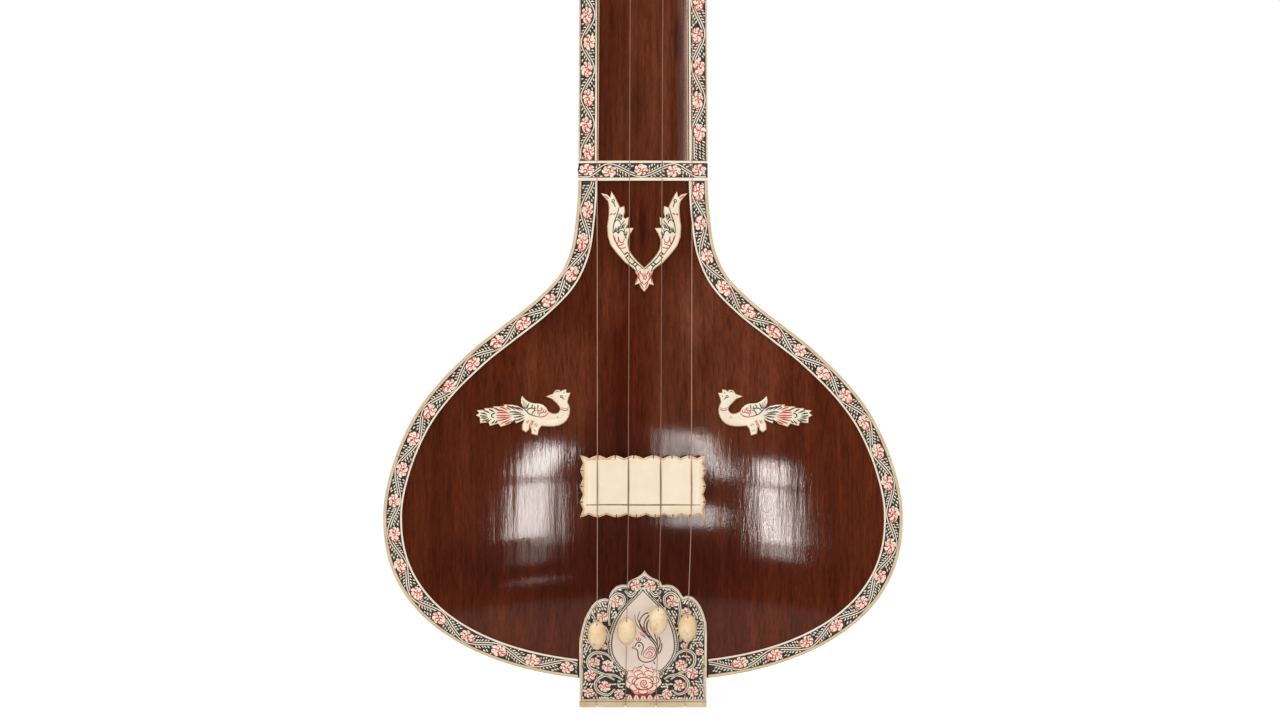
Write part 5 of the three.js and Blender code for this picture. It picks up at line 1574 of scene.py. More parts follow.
FACING_HALF = (facing_high[0] - facing_low[0]) / 2
FACING_RIGHT = [
    (49.45, 38.0), (49.0, 46.2), (47.1, 52.8), (44.8, 58.4), (42.0, 62.7), (38.2, 66.0), (34.4, 67.1), (31.2, 66.0),
    (29.8, 67.8), (27.4, 71.6), (23.2, 74.9), (19.0, 75.7), (14.7, 75.3), (13.6, 78.0), (10.6, 79.8), (7.0, 81.2),
    (4.2, 83.0), (2.4, 84.8),
]
FACING_LEFT = [
    (-49.45, 30.0), (-49.0, 34.0), (-47.4, 41.5), (-45.2, 49.1), (-42.9, 53.7), (-39.6, 59.4), (-36.3, 62.7),
    (-32.6, 64.4), (-29.3, 65.0), (-26.5, 64.3), (-25.8, 67.8), (-24.1, 71.1), (-20.8, 74.2), (-16.6, 75.7),
    (-11.9, 75.5), (-11.2, 78.0), (-8.0, 79.9), (-4.6, 81.4), (-2.0, 83.0), (0.2, 85.2),
]
FACING_TIP = 1.2
RIM_LINE = 1.75
CARTOUCHE = [
    (1.0, 5.0), (3.5, 8.2), (6.5, 10.8), (12.0, 17.0), (17.6, 21.3), (23.0, 23.4), (29.0, 24.0), (35.6, 23.3),
    (41.0, 21.9), (47.7, 19.3), (53.0, 16.2), (59.0, 11.6), (65.0, 5.5), (68.5, 2.2), (71.0, 0.05),
]
FACING_ROSES = [
    (-5.7, 75.1, 4.9), (5.6, 75.1, 4.9), (-20.6, 62.4, 5.0), (22.9, 63.1, 5.0), (-31.2, 50.4, 4.6), (33.5, 54.1, 4.4),
    (-37.4, 15.0, 4.2), (-27.7, 12.0, 5.0), (29.7, 12.8, 5.0), (43.9, 23.4, 3.4), (-41.4, 4.2, 4.9), (38.4, 5.8, 4.9),
    (-29.7, -4.5, 4.8), (28.4, -3.2, 4.8), (39.0, -7.8, 4.8), (-41.8, -9.6, 4.2), (-18.6, -10.6, 4.4),
    (18.8, -10.2, 4.4), (32.0, 28.0, 2.6), (-30.0, 27.0, 2.4),
]
FACING_SCROLLS = [
    [(-25.9, 43.8), (-26.6, 51.0), (-26.3, 57.1), (-24.4, 64.6), (-19.9, 68.6), (-14.9, 66.1), (-15.2, 60.4),
     (-19.4, 56.4)],
    [(27.1, 44.6), (28.4, 51.0), (28.6, 57.1), (26.9, 65.4), (21.7, 69.3), (16.7, 66.1), (17.3, 60.4), (21.2, 57.4)],
    [(-22.1, 1.0), (-28.4, 4.6), (-34.9, 7.2), (-41.7, 11.0), (-42.4, 18.0), (-36.8, 22.6), (-28.0, 21.0),
     (-22.6, 15.2)],
    [(21.6, 1.4), (27.6, 6.0), (34.6, 8.8), (39.6, 13.6), (39.6, 20.6), (34.0, 24.4), (27.4, 22.2), (24.0, 16.6)],
    [(-15.4, 0.7), (-22.1, 4.6), (-31.2, 4.2), (-36.9, -1.3), (-34.8, -8.3), (-27.1, -10.8), (-21.9, -6.3)],
    [(16.4, 1.7), (22.1, 4.6), (30.2, 4.2), (35.2, -1.3), (33.6, -7.6), (27.6, -10.3), (22.4, -7.0)],
    [(-33.0, 26.0), (-34.4, 34.0), (-37.8, 41.6), (-42.4, 46.8)],
    [(34.0, 28.0), (35.4, 35.0), (38.4, 42.6), (42.6, 48.0)],
    [(-34.0, 44.6), (-29.6, 42.2), (-27.0, 36.2), (-28.0, 30.4)],
    [(36.0, 47.6), (31.6, 42.8), (29.6, 36.2), (29.0, 31.4)],
    [(-14.0, 71.0), (-9.2, 67.2), (-4.2, 72.0)], [(14.0, 71.0), (9.6, 67.2), (4.6, 72.0)],
]
SCROLL_LAYERS = [
    (BLACK_INK, [1.3, 1.75, 1.75, 1.3], 2.4), (CREAM, [0.6, 1.15, 1.15, 0.6], 2.8),
    (BLACK_INK, [0.14, 0.3, 0.3, 0.14], 3.4),
]
SIDE_LEAN = 0.004
SIDE_TOP = 29
FACING_BEVEL = 0.5
GROUND_BEVEL = 0.01
GROUND_SUNK = 0.1
NAIL_HOLE_RADIUS = 1.1
NAIL_HOLE_LOW = -9
NAIL_HOLE_HIGH = 6
NAIL_HOLE_IN = 3


def facing_place(u, v, lift):
    u, v = np.broadcast_arrays(np.asarray(u, float), np.asarray(v, float))
    return np.stack([u, facing_y(v) - lift, v], axis=-1)


def facing_outline(inset=0.0):
    foot = facing_low[2]
    up = np.array([0, 0.25, 0.5, 0.75])
    side = np.stack([FACING_HALF * (1 - SIDE_LEAN * (1 - up)), foot + (SIDE_TOP - foot) * up], axis=1)
    whole = np.vstack([
        side, FACING_RIGHT, [(FACING_TIP, facing_high[2])], FACING_LEFT[::-1], side[::-1] * (-1, 1),
    ])
    whole[:, 1] = np.minimum(whole[:, 1], facing_high[2])
    if inset:
        whole = whole + inset_directions(whole) * inset
    return whole


def cartouche_half(z, grow=0.0):
    zs, halves = np.array(CARTOUCHE).T
    return np.interp(z, zs, halves) + grow


def inside(outline, u, v):
    """Whether a point lies in a closed outline."""
    x, z = outline.T
    x2, z2 = np.roll(outline, -1, axis=0).T
    crosses = (z > v) != (z2 > v)
    with np.errstate(divide="ignore", invalid="ignore"):
        reach = (x2 - x) * (v - z) / (z2 - z) + x
    return (crosses & (u < reach)).sum() % 2 == 1


def nail_cutter(node):
    low, high = node_box(node)
    place = ((low[0] + high[0]) / 2, low[1] + NAIL_HOLE_IN, (low[2] + high[2]) / 2)
    return drill(place, (0, -1, 0), NAIL_HOLE_RADIUS, NAIL_HOLE_LOW, NAIL_HOLE_HIGH)


def make_tail_facing():
    zs = np.arange(facing_low[2] + 4, facing_high[2] - 1, 4.5)
    xs = np.arange(-44, 45, 11)
    at = lambda lift: lambda x, z: facing_y(z) - lift
    plate = shaped_plate(
        "tail_facing_plate", facing_outline(), at(-FACING_THICKNESS), at(0), CREAM, FACING_BEVEL, zs, xs,
    )
    cut_away(plate, [nail_cutter("tail_nail_left"), nail_cutter("tail_nail_right")])
    stand_for(plate, "inlay", "tail_facing")
    ground = shaped_plate(
        "tail_facing_ground", facing_outline(RIM_LINE), at(-GROUND_SUNK), at(LEVEL_STEP), BLACK_INK, GROUND_BEVEL,
        zs, xs,
    )
    stand_for(ground, "inlay")
    draw_facing()


def draw_facing():
    inlay = Inlay(facing_place, 0)
    for ink, inset, half, level in ((CREAM, RIM_LINE + 0.8, 0.22, 2), (RIM_TAN, 0.72, 0.2, 0.6)):
        rim = facing_outline(inset)
        inlay.stroke(ink, np.vstack([rim, rim[:1]]), half, level)
    draw_cartouche(inlay)
    scrolls = [spline(points, 7) for points in FACING_SCROLLS]
    for line in scrolls:
        for ink, half, level in SCROLL_LAYERS:
            inlay.stroke(ink, line, half, level)
    draw_facing_leaves(inlay, scrolls)
    for u, v, radius in FACING_ROSES:
        rose(inlay, u, v, radius, rng.uniform(0.94, 1.08), rng.uniform(0, 6))
    draw_middle_rose(inlay)
    inlay.make("tail_facing_pattern")
    bird = Inlay(facing_place, 0)
    draw_cartouche_bird(bird)
    bird.make("cartouche_bird")


CARTOUCHE_TOP = 71
CARTOUCHE_FIELDS = [
    (CREAM, 3.6, 1.6), (BLACK_INK, 3.1, 2.2), (CREAM, 2.15, 2.8), (BLACK_INK, 0.95, 3.4), (PALE, 0, 4.0),
]
DASH_OUT = 1.55
DASH_PITCH = 1.7
DASH_LENGTH = 0.6
DASH_HALF = 0.34


def draw_cartouche(inlay):
    """Field within field, and a row of dashes round them."""
    zs = np.concatenate([np.arange(1, 66, 2.2), [66, 68, 69.5]])
    shares = np.linspace(-1, 1, 9)
    for ink, grow, level in CARTOUCHE_FIELDS:
        rows = np.append(zs, CARTOUCHE_TOP + grow * 1.5)
        us = np.append(cartouche_half(zs, grow), 0.05)[:, None] * shares
        vs = np.repeat(rows[:, None], len(shares), axis=1)
        inlay.plate(ink, us, vs, SUNK + level * LEVEL_STEP, -SUNK)
    for side in (-1, 1):
        line = np.array([(side * (cartouche_half(z) + DASH_OUT), z) for z in np.arange(3, 70, 0.4)])
        run = np.concatenate([[0], np.cumsum(np.linalg.norm(np.diff(line, axis=0), axis=1))])
        for s in np.arange(1, run[-1] - 1, DASH_PITCH):
            places = s + np.array([0, 0.5, 1]) * DASH_LENGTH
            dash = np.stack([np.interp(places, run, part) for part in line.T], axis=1)
            inlay.stroke(BLACK_INK, dash, DASH_HALF, 3.4)


MIDDLE_ROSE = (0, -1, 14.2)
FIELD_INSET = 2.7
CARTOUCHE_CLEAR = 3.9
ROSE_CLEAR = 0.7
SCROLL_CLEAR = 2.45
LEAF_SPACING = 2.2
LEAF_SHAKE = 0.35
LEAF_TURN = 0.9
FACING_LEAF_LENGTH = 2.6
FACING_LEAF_HALF = 0.6


def draw_facing_leaves(inlay, scrolls):
    """Small leaves all over the ground, leaning away from the nearest scroll."""
    outline = facing_outline(FIELD_INSET)
    spots = np.vstack(scrolls)
    tangents = np.vstack([normals_of(line) for line in scrolls])
    rose_u, rose_v, rose_radius = np.array(FACING_ROSES + [MIDDLE_ROSE]).T
    shaken = lambda place: place + rng.uniform(-LEAF_SHAKE, LEAF_SHAKE)
    for row, z0 in enumerate(np.arange(facing_low[2] + 2.8, facing_high[2] - 3, LEAF_SPACING)):
        for x0 in np.arange(-47, 47.1, LEAF_SPACING):
            u = shaken(x0 + LEAF_SPACING / 2 * (row % 2))
            v = shaken(z0)
            turn = rng.uniform(-0.5, 0.5)
            grow = rng.uniform(0.85, 1.15)
            away = np.hypot(spots[:, 0] - u, spots[:, 1] - v)
            nearest = int(np.argmin(away))
            if (
                not inside(outline, u, v)
                or 0 < v < CARTOUCHE_TOP + 3 and abs(u) < cartouche_half(v) + CARTOUCHE_CLEAR
                or (np.hypot(rose_u - u, rose_v - v) < rose_radius + ROSE_CLEAR).any()
                or away[nearest] < SCROLL_CLEAR
            ):
                continue
            across = tangents[nearest]
            side = 1 if np.dot(across, (u, v) - spots[nearest]) > 0 else -1
            angle = math.atan2(-across[0], across[1]) + side * LEAF_TURN + turn
            length = FACING_LEAF_LENGTH * grow
            foot_u = u - length / 2 * math.cos(angle)
            foot_v = v - length / 2 * math.sin(angle)
            leaf(inlay, foot_u, foot_v, angle, length, FACING_LEAF_HALF * grow, -side * rng.uniform(0.5, 1.2))


MIDDLE_CROWN = [
    (-12.8, 3.6), (-11.6, 8.6), (-8.2, 7.0), (-6.4, 11.4), (-3.2, 8.4), (0.3, 13.4), (3.4, 8.4), (6.8, 11.4),
    (8.4, 7.0), (12.0, 8.8), (13.0, 3.6),
]
FOOT_PETAL = np.array([(-2.4, 1.9), (-1.6, 4.4), (0, 5.6), (1.6, 4.4), (2.4, 1.9)])


def draw_middle_rose(inlay):
    """The large open rose at the foot of the cartouche."""
    turn = np.linspace(0, 2 * np.pi, 49)[:-1]
    shape = around(1 + 0.06 * np.cos(7 * turn + 1), turn)
    inlay.patch(BLACK_INK, shape * (14.2, 11.4) + (0.2, 0.2), 4.2)
    inlay.patch(PINK, shape * (13.5, 10.7) + (0.2, 0.2), 4.6)
    inlay.patch(PINK, MIDDLE_CROWN + [(6, -2), (-6, -2)], 4.7)
    inlay.stroke(RED_INK, MIDDLE_CROWN, 0.34, 5.4)
    for size, count, start in ((1.0, 7, 0.2), (0.7, 5, 0.55)):
        for i in range(count):
            middle = start + 2 * np.pi * i / count
            spread = np.array([-0.5, -0.34, 0, 0.34, 0.5]) * 2 * np.pi / count
            arc = around(np.array([0.52, 0.9, 1, 0.9, 0.52]) * size, middle + spread)
            inlay.stroke(RED_INK, spline(arc * (12.4, 9.6), 3) + (0.2, -0.6), [0.2, 0.38, 0.2], 5.4)
    coil = np.linspace(0, 1, 24)
    inlay.stroke(RED_INK, around(0.4 + 3.1 * coil, 11 * coil + 1) + (0.8, -1.7), 0.4, 5.4)
    inlay.stroke(RED_INK, around(1, np.linspace(0, 2 * np.pi, 28)) * (7.2, 5.0) + (0.5, -1.9), 0.42, 5.4)
    for side in (-1, 1):
        for reach in (1.0, 0.78, 0.56):
            fold = [(side * 9.4 * reach, -8.0), (side * 5.0 * reach, -8.6 - 2 * reach), (0, -9.4 - 2.2 * reach)]
            inlay.stroke(RED_INK, spline(fold, 4), [0.16, 0.34, 0.26], 5.4)
    foot = facing_low[2]
    for u in (-10.4, -5.2, 0.2, 5.4, 10.6):
        petal = FOOT_PETAL + (u, foot)
        inlay.patch(PINK, petal, 3.6)
        inlay.stroke(RED_INK, spline(petal, 2), 0.3, 5.4)
        inlay.stroke(RED_INK, [(u, foot + 2.4), (u, foot + 4.3)], [0.45, 0.15], 5.4)


CARTOUCHE_BIRD = [
    [(-6.3, 27.3), (-5.3, 29.4), (-3.3, 30.8), (-1.1, 29.9), (0.1, 27.9), (-0.1, 25.1), (-1.1, 22.7), (-1.1, 20.5)],
    [(-5.5, 25.7), (-4.0, 23.4), (-3.7, 19.2), (-1.6, 16.2), (2.2, 15.0), (6.4, 15.9), (9.6, 18.4), (10.7, 22.5),
     (10.1, 26.7), (8.3, 30.2), (5.2, 33.6), (1.9, 37.3), (-2.0, 41.1), (-5.3, 45.8), (-6.5, 52.5)],
    [(11.8, 22.5), (11.3, 27.6), (8.9, 31.6), (4.6, 35.9), (0.6, 40.0), (-1.8, 44.3), (-4.0, 49.3), (-2.5, 54.9)],
    [(4.2, 54.0), (0.6, 52.5), (-2.3, 48.5), (-2.3, 43.8), (0.6, 39.0)],
    [(5.1, 52.2), (2.4, 49.3), (0.7, 44.6), (2.1, 39.1), (5.1, 34.4)],
    [(4.4, 48.5), (3.2, 45.1), (3.4, 40.5), (6.4, 35.3), (9.1, 31.8)],
    [(8.1, 41.0), (8.9, 37.0), (9.9, 34.3), (11.4, 29.2), (11.6, 24.2)],
    [(12.4, 34.9), (13.3, 31.8), (12.8, 27.6), (11.4, 23.4)],
    [(14.6, 30.2), (14.5, 26.6), (13.3, 23.2), (11.6, 21.2)],
    [(7.9, 15.3), (8.8, 14.6), (9.4, 13.5)],
]
CARTOUCHE_BIRD_RED = [
    [(-6.1, 27.4), (-8.5, 26.6), (-6.1, 25.4), (-5.0, 26.4)], [(-5.3, 34.3), (-4.9, 32.8), (-4.1, 31.4)],
    [(-3.6, 34.8), (-3.4, 33.2), (-3.6, 31.6)], [(-1.6, 33.8), (-2.1, 32.4), (-3.0, 31.4)],
    [(-2.6, 38.6), (-0.3, 37.1), (2.2, 35.4)], [(-2.0, 36.6), (0.6, 35.4), (2.9, 33.4)],
    [(0.9, 45.1), (0.2, 41.0), (1.6, 37.6)], [(2.9, 46.0), (2.6, 41.8), (3.9, 37.6)],
    [(-0.1, 21.2), (1.6, 23.9), (5.1, 27.1), (8.1, 26.1), (9.6, 22.9), (8.3, 19.4), (4.9, 18.2), (1.4, 19.0),
     (-0.1, 21.2)],
    [(2.1, 20.5), (3.4, 22.7), (5.4, 23.4), (7.1, 22.0), (6.2, 20.0), (3.9, 19.5)],
    [(3.9, 24.6), (6.2, 25.6), (8.1, 23.6)], [(5.1, 21.9), (4.9, 21.2), (4.7, 20.5)],
]


def draw_cartouche_bird(inlay):
    for ink, lines, half in ((BLACK_INK, CARTOUCHE_BIRD, 0.42), (RED_INK, CARTOUCHE_BIRD_RED, 0.36)):
        for line in lines:
            inlay.stroke(ink, spline(line, 5), [half, half, half, half * 0.5], 5)
    inlay.stroke(BLACK_INK, around(0.8, np.linspace(0, 2 * np.pi, 10)) + (-3.0, 28.0), 0.22, 5)
    inlay.dot(BLACK_INK, -3.0, 28.0, 0.35, 5)


# Pieces about an axis

KNOB_RADIUS = 17
KNOB_LENGTH = 44
COLLAR = 13.3
WINDING = (2, 13, 5.3, 6.5)
KNOB_SHARES = [
    (0.47, 0), (0.52, 0.06), (0.4, 0.12), (0.36, 0.2), (0.62, 0.3), (0.92, 0.42), (1, 0.56),
    (0.93, 0.72), (0.66, 0.88), (0.3, 1),
]
FINIAL_RADIUS = 5
FINIAL_LENGTH = 9
FINIAL_SHARES = [(0.6, 0), (0.95, 0.25), (1, 0.5), (0.75, 0.8), (0.35, 1)]
BEAD_SHARES = [
    (0.17, 0), (0.32, 0.03), (0.51, 0.1), (0.77, 0.22), (0.94, 0.37), (0.995, 0.54), (0.96, 0.68),
    (0.87, 0.79), (0.65, 0.9), (0.42, 0.965), (0.22, 1),
]
FLUTES = 14


FLUTE_DEPTH = 0.055
FLUTE_FROM = 0.72
FLUTE_TO = 0.965
FLUTE_FADE = 0.06
PEG_END_SHARE = 0.86
WIRE_SHARE = 0.97
WIRE_PITCH = 2.06


def knob_ripple(angle, share):
    """Flutes round the full part of the knob, none on its neck and its end."""
    full = np.clip((share - FLUTE_FROM) / FLUTE_FADE, 0, 1) * np.clip((FLUTE_TO - share) / FLUTE_FADE, 0, 1)
    return 1 - FLUTE_DEPTH * full * (1 - np.abs(np.cos(FLUTES / 2 * angle)) ** 0.8)


def swelling(shares, radius, foot, length, steps=5):
    """A smooth profile from shares of a radius and of a length above its foot."""
    return [tuple(p) for p in spline([(r * radius, foot + up * length) for r, up in shares], steps)]


def make_pegs():
    for joint in joints_of("_turn"):
        word = joint["name"].replace("_turn", "")
        number = word[-1]
        body = word + "_set"
        place = np.array(joint["pos_m"]) / MM
        out = np.array(joint["axis"], float)
        low, high = node_box(word)
        reach = abs(np.dot(high - low, out)) - COLLAR - KNOB_LENGTH
        profile = [
            (0, -reach), (PEG_RADIUS * PEG_END_SHARE, -reach), (PEG_RADIUS, -reach + 1),
            *[(PEG_RADIUS, h) for h in np.linspace(-reach + 2, COLLAR - 0.2, 6)], (PEG_RADIUS, COLLAR),
            *swelling(KNOB_SHARES, KNOB_RADIUS, COLLAR, KNOB_LENGTH, 6), (0, COLLAR + KNOB_LENGTH),
        ]
        sides = 112
        peg = round_mesh(word + "_knob", profile, PEG_WOOD, place, out, sides, knob_ripple)
        stand_for(peg, "lacquered_wood", word, body=body)
        foot = COLLAR + KNOB_LENGTH + GAP
        profile = [
            (0, foot), *swelling(FINIAL_SHARES, FINIAL_RADIUS, foot, FINIAL_LENGTH), (0, foot + FINIAL_LENGTH),
        ]
        finial = round_mesh(word + "_finial", profile, IVORY, place, out, sides=36)
        stand_for(finial, "ivory_plate", "peg_finial_" + number, body=body)
        make_winding(word, number, place, out, body)


def make_winding(word, number, place, out, body):
    """Turns of string side by side on the shaft."""
    start, end, inner, outer = WINDING
    wire = (outer - inner) / 2 * WIRE_SHARE
    length = end - start - 2 * wire
    turns = int(length / (WIRE_PITCH * wire))
    sides = 10
    steps = turns * 28
    t = np.linspace(0, 1, steps + 1)[:, None]
    angle = 2 * np.pi * turns * t
    around_wire = np.linspace(0, 2 * np.pi, sides, endpoint=False)
    radius = (inner + outer) / 2 + wire * np.cos(around_wire)
    height = start + wire + length * t + wire * np.sin(around_wire)
    grid = np.stack([radius * np.cos(angle), radius * np.sin(angle), height], axis=-1)
    points = turning(grid.reshape(-1, 3), place, out)
    coil = new_object(word + "_coil", points, tube_faces(steps + 1, sides), STRING_METALS[int(number) - 1], 60)
    stand_for(coil, "string_steel", "winding_" + number, body=body)


def axis_fit(name, along):
    """Middle, length and radius of a round CAD node about a direction."""
    thing = bpy.data.objects[name]
    points = np.array([thing.matrix_world @ vertex.co for vertex in thing.data.vertices]) / MM
    places = points @ along
    centre = points.mean(axis=0)
    centre = centre + along * ((places.min() + places.max()) / 2 - centre @ along)
    off = points - centre
    radius = np.linalg.norm(off - np.outer(off @ along, along), axis=1).max()
    return centre, places.max() - places.min(), radius


BEAD_BORE = 0.62


def make_beads():
    for joint in joints_of("_slide"):
        word = joint["name"].replace("_slide", "")
        along = np.array(joint["axis"], float)
        centre, length, radius = axis_fit(word, along)
        foot, head = -length / 2, length / 2
        skin = swelling(BEAD_SHARES, radius, foot, length)
        profile = [(BEAD_BORE, foot), *skin, (BEAD_BORE, head), (BEAD_BORE, 0), (BEAD_BORE, foot)]
        bead = round_mesh(word + "_bead", profile, BEAD_BONE, centre, along, sides=44)
        stand_for(bead, "ivory_plate", word, body=word + "_set")


# Rings and cap

RING_THICKNESS = 1.5
RING_ARCH = 0.42
RING_SUNK = 0.02
RING_LINE = (0.12, -0.08)
RING_END = 0.105
RING_LINES = [(BLACK_INK, 0.24, 0.3), (RED_INK, 0.5, 0.34), (BLACK_INK, 0.76, 0.3)]
CAP_OVERHANG = 1.5
CAP_ROUND = 1.8
CAP_FLAT = 0.45


def make_ring(name, node):
    """A rounded band round the back with three drawn lines."""
    low, high = node_box(node)
    turn = np.linspace(RING_END, 1 - RING_END, 97)
    rows = np.linspace(low[2], high[2], 11)
    lift = RING_THICKNESS * (1 - RING_ARCH * np.abs(np.linspace(-1, 1, 11)) ** 6) - RING_SUNK
    ring_rows = lambda rises: np.stack([
        np.stack([*section(turn, z, GAP + rise), np.full_like(turn, z)], axis=-1) for z, rise in zip(rows, rises)
    ])
    stand_for(slab(name, ring_rows(lift), ring_rows(0 * lift), CREAM), "inlay", node)

    def place(u, v, lift):
        x, y = section(u, v, GAP + RING_THICKNESS + lift)
        return np.stack([x, y, v], axis=-1)

    lines = Inlay(place, 0)
    for ink, share, wide in RING_LINES:
        z = low[2] + share * (high[2] - low[2])
        us, vs = np.meshgrid(turn[1:-1], [z - wide, z + wide], indexing="ij")
        lines.plate(ink, us, vs, *RING_LINE)
    lines.make(name + "_lines")


def make_head_cap():
    """A plate of the neck's section with a rounded rim that stands out a little."""
    low, high = node_box("head_cap")
    x, y = section(np.linspace(0, 1, 81), HEAD_TOP)
    front_x = np.linspace(x[-1], x[0], 31)
    loop = np.concatenate([
        np.stack([x, y], axis=1), np.stack([front_x, front_y(front_x, HEAD_TOP)], axis=1),
    ])
    middle = RIM_Y + (NECK_DEPTH - BOARD_THICKNESS - NECK_CROWN) / 2
    half = float(half_width(HEAD_TOP))
    rows = []
    for share in np.concatenate([
        [0], 0.3 - 0.3 * np.cos(np.linspace(0.4, np.pi / 2, 5)), [0.4, 0.6],
        0.65 + 0.35 * np.sin(np.linspace(0.2, np.pi / 2, 7)),
    ]):
        over = abs(share - 0.5) * 2
        fall = CAP_ROUND * (max(0.0, over - CAP_FLAT) / (1 - CAP_FLAT)) ** 2.2
        scale = (half + CAP_OVERHANG - fall) / half
        level = np.full(len(loop), low[2] + share * (high[2] - low[2]))
        rows.append(np.column_stack([loop[:, 0] * scale, middle + (loop[:, 1] - middle) * scale, level]))
    cap = new_object("head_cap_plate", np.vstack(rows), tube_faces(len(rows), len(loop)), IVORY, 40)
    weld(cap.data, 0.002)
    stand_for(cap, "ivory_plate", "head_cap")


make_bridge()
make_bridge_base()
make_face_bar("nut_bar", "nut")
guide_y = node_box("string_guide")[0][1] + GUIDE_HOLE_DOWN
make_face_bar("string_guide_bar", "string_guide", [(share * STRING_SPREAD, guide_y) for share in NUT_STRING_SHARES])
make_tail_facing()
make_pegs()
make_beads()
make_ring("gourd_binding", "gourd_ring")
make_ring("joint_binding", "joint_ring")
make_head_cap()


# Pieces kept from the frame

def dress(name, material, bevel=0.0, angle=35):
    """A CAD node kept as it is, with its own material and softened edges."""
    thing = bpy.data.objects[name]
    thing.data.materials.clear()
    thing.data.materials.append(material)
    shade_smooth(thing.data, angle)
    if bevel:
        step = thing.modifiers.new("soft_edges", "BEVEL")
        step.width = bevel * MM
        step.segments = 2
        step.limit_method = "ANGLE"
        step.angle_limit = math.radians(40)


dress("tail_block", PEG_WOOD, 0.5)
dress("tail_edge", GOLD_EDGE, 0.35)
dress("tail_inner_block", INNER_WOOD, 0.6)
dress("neck_tenon", INNER_WOOD, 0.6)
for i, metal_of in enumerate(STRING_METALS, 1):
    dress(f"string_{i}", metal_of, angle=60)
    dress(f"tail_pin_{i}", BRASS, angle=30)
dress("tail_nail_left", BRASS, angle=30)
dress("tail_nail_right", BRASS, angle=30)


# Camera, floor and light

CAMERA_DISTANCE = 2200
PIXEL = 0.78
SENSOR = 36
PHOTO_WIDTH = 1280
PHOTO_HEIGHT = 722
PHOTO_CENTRE_X = 643
PHOTO_FOOT_Y = 680


def make_camera():
    """The picture's middle, seen square on, with the photograph's scale at the rim of the soundboard."""
    across = (PHOTO_WIDTH / 2 - PHOTO_CENTRE_X) * PIXEL
    up = (PHOTO_FOOT_Y - PHOTO_HEIGHT / 2) * PIXEL
    data = bpy.data.cameras.new("camera")
    data.sensor_width = SENSOR
    data.lens = SENSOR * CAMERA_DISTANCE / (PHOTO_WIDTH * PIXEL)
    data.clip_end = 50
    camera = bpy.data.objects.new("camera", data)
    camera.location = Vector((across, RIM_Y - CAMERA_DISTANCE, up)) * MM
    camera.rotation_euler = (math.pi / 2, 0, 0)
    bpy.context.scene.collection.objects.link(camera)
    bpy.context.scene.camera = camera


def area_light(name, place, target, width, height, power, tilt=0.0):
    data = bpy.data.lights.new(name, "AREA")
    data.shape = "RECTANGLE"
    data.size = width * MM
    data.size_y = height * MM
    data.energy = power
    lamp = bpy.data.objects.new(name, data)
    lamp.location = Vector(place) * MM
    turn = (Vector(target) - Vector(place)).to_track_quat("-Z", "Y").to_euler()
    turn.rotate_axis("Z", tilt)
    lamp.rotation_euler = turn
    bpy.context.scene.collection.objects.link(lamp)
    return lamp


# Soft lights: name, place, target, width, height and power.
SOFT_LIGHTS = [
    ("overhead", (0, -1300, 2700), (0, 0, 450), 2600, 1800, 34),
    ("left_fill", (-2400, -1500, 900), (0, 0, 400), 1500, 1800, 10),
]

# Bright panes far in front of the instrument: centre across, foot, head, width, brightness and tilt.
PANE_Y = -3100
PANES = [
    (-566, -320, 84, 130, 1.2, 0.0),
    (-525, 112, 312, 132, 1.45, -0.5),
    (-459, -380, 70, 54, 0.5, 0.0),
    (-520, -520, -365, 110, 0.15, 0.0),
    (-492, -672, -658, 150, 0.4, 0.0),
    (650, -350, 60, 92, 1.6, 0.0),
    (682, 84, 222, 108, 1.7, 0.0),
    (750, -340, 50, 100, 0.22, 0.0),
    (660, -470, -350, 120, 0.45, 0.0),
    (166, 202, 362, 78, 0.62, 0.0),
    (350, 90, 368, 50, 1.5, 0.5),
    (225, -265, -108, 200, 0.45, 0.0),
    (350, -250, -112, 40, 1.0, 0.0),
]
PANE_GLOW = 17.5
PANE_TINT = (1.0, 0.95, 0.91)
NEAR_PANES = [
    (113, 421, 587, 16, 0.42, 0.0), (108, 421, 587, 26, 0.12, 0.0), (104, 421, 587, 36, 0.05, 0.0),
]
NEAR_PANE_Y = -500
NEAR_PANE_TINT = (1.0, 0.74, 0.64)


def make_pane(across, foot, head, width, share, tilt, y, tint):
    height = head - foot
    power = PANE_GLOW * share * width * height * 1e-6 * math.pi
    lamp = area_light("pane", (across, y, (foot + head) / 2), (across * 0.15, -100, 130), width, height, power, tilt)
    lamp.data.color = tint
    return lamp


def make_panes():
    for pane in PANES:
        make_pane(*pane, PANE_Y, PANE_TINT)
    for pane in NEAR_PANES:
        lamp = make_pane(*pane, NEAR_PANE_Y, NEAR_PANE_TINT)
        lamp.rotation_euler = (math.pi / 2, 0, 0)
        lamp.visible_camera = False


FLOOR_RADIUS = 1400
FLOOR_MIDDLE = 40
FLOOR_BELOW = 1.2
FLOOR_TONE = (0.93, 0.93, 0.93)
FLOOR_IN_SHINE = (0.42, 0.38, 0.36)
FLOOR_GLOW = 0.9
SEEN_FADE = (0.30, 0.85)
SHINE_FADE = (0.37, 0.43)


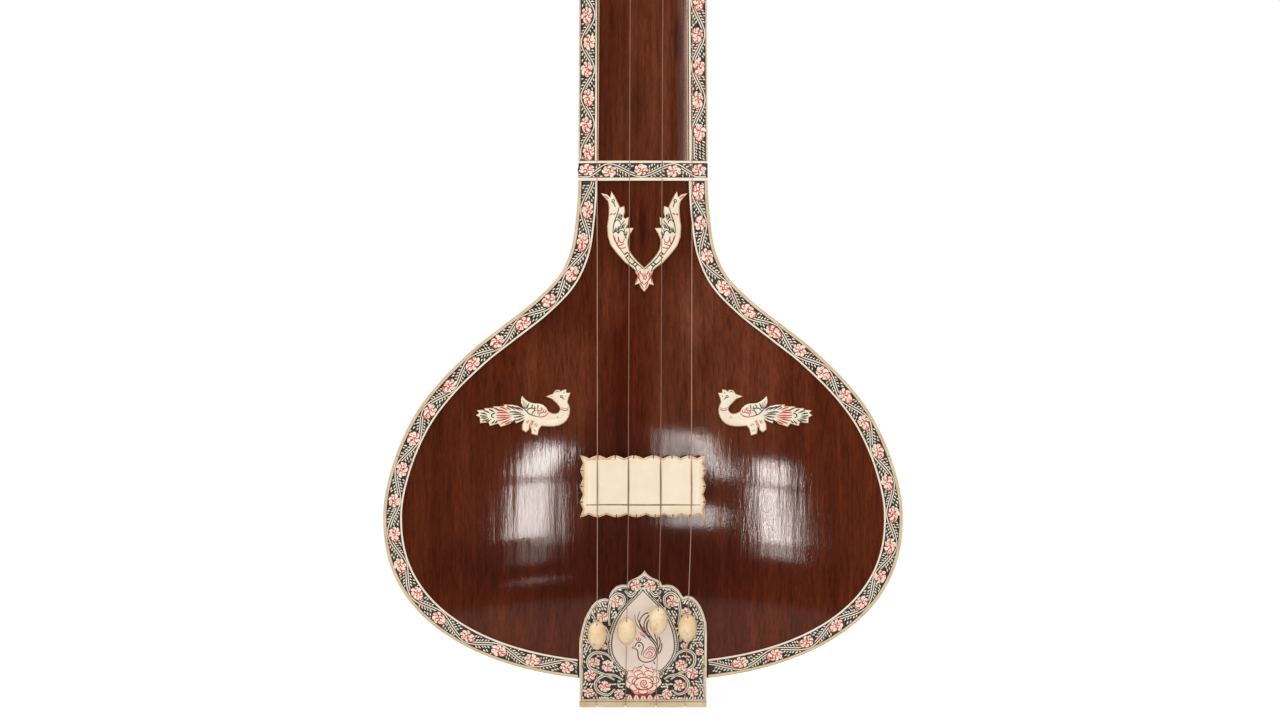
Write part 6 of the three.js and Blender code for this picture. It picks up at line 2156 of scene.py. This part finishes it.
def make_floor():
    """A pale round floor that fades out."""
    turn = np.linspace(0, 2 * np.pi, 64, endpoint=False)
    level = np.full(len(turn), cad_box[0][2] / MM - FLOOR_BELOW)
    points = np.column_stack([around(FLOOR_RADIUS, turn) + (0, FLOOR_MIDDLE), level])
    m = Nodes("floor")
    rays = m.add("ShaderNodeLightPath").outputs
    tone = m.mix(rays["Is Glossy Ray"], FLOOR_TONE, FLOOR_IN_SHINE)
    m.finish(tone, m.scaled(m.noise(FLOOR_GRAIN), 0.86, 0.94), Specular_IOR_Level=0.0)
    floor_light = m.shader.outputs[0]
    reach = m.vector("LENGTH", m.where(), output="Value")
    clear = m.add("ShaderNodeBsdfTransparent").outputs[0]
    glow = m.add("ShaderNodeEmission", {"Color": (1, 1, 1, 1), "Strength": FLOOR_GLOW}).outputs[0]
    seen = rays["Is Camera Ray"]
    fade = m.add("ShaderNodeMix", {0: seen, 2: m.fade(reach, *SHINE_FADE), 3: m.fade(reach, *SEEN_FADE)}).outputs[0]
    lit = m.add("ShaderNodeAddShader", {0: floor_light, 1: glow}).outputs[0]
    shown = m.add("ShaderNodeMixShader", {0: seen, 1: floor_light, 2: lit}).outputs[0]
    mixed = m.add("ShaderNodeMixShader", {0: fade, 1: clear, 2: shown}).outputs[0]
    m.put(mixed, m.tree.nodes["Material Output"].inputs["Surface"])
    floor = new_object("floor", points, [list(range(len(turn)))], m.material)
    floor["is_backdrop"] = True


ROOM_LIGHT = 0.62
ROOM_SHINE = 0.04


def make_world():
    """White behind the object, a softer room for the light that reaches it."""
    world = bpy.data.worlds.new("room")
    world.use_nodes = True
    bpy.context.scene.world = world
    tree = world.node_tree
    tree.nodes.clear()
    new = tree.nodes.new
    link = tree.links.new

    def background(strength):
        node = new("ShaderNodeBackground")
        node.inputs["Color"].default_value = (1, 1, 1, 1)
        node.inputs["Strength"].default_value = strength
        return node.outputs[0]

    def mix(factor, a, b):
        node = new("ShaderNodeMixShader")
        link(factor, node.inputs[0])
        link(a, node.inputs[1])
        link(b, node.inputs[2])
        return node.outputs[0]

    path = new("ShaderNodeLightPath")
    room = background(ROOM_LIGHT)
    dim = background(ROOM_SHINE)
    white = background(1.0)
    shade = mix(path.outputs["Is Glossy Ray"], room, dim)
    shade = mix(path.outputs["Is Transmission Ray"], shade, white)
    link(mix(path.outputs["Is Camera Ray"], shade, white), new("ShaderNodeOutputWorld").inputs[0])


make_camera()
make_panes()
for light in SOFT_LIGHTS:
    area_light(*light)
make_floor()
make_world()
bpy.context.scene.view_settings.view_transform = "Standard"

as_lists = lambda box: [[float(v) for v in corner] for corner in box]
{"cad": as_lists(cad_box), "visual": as_lists(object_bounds())}
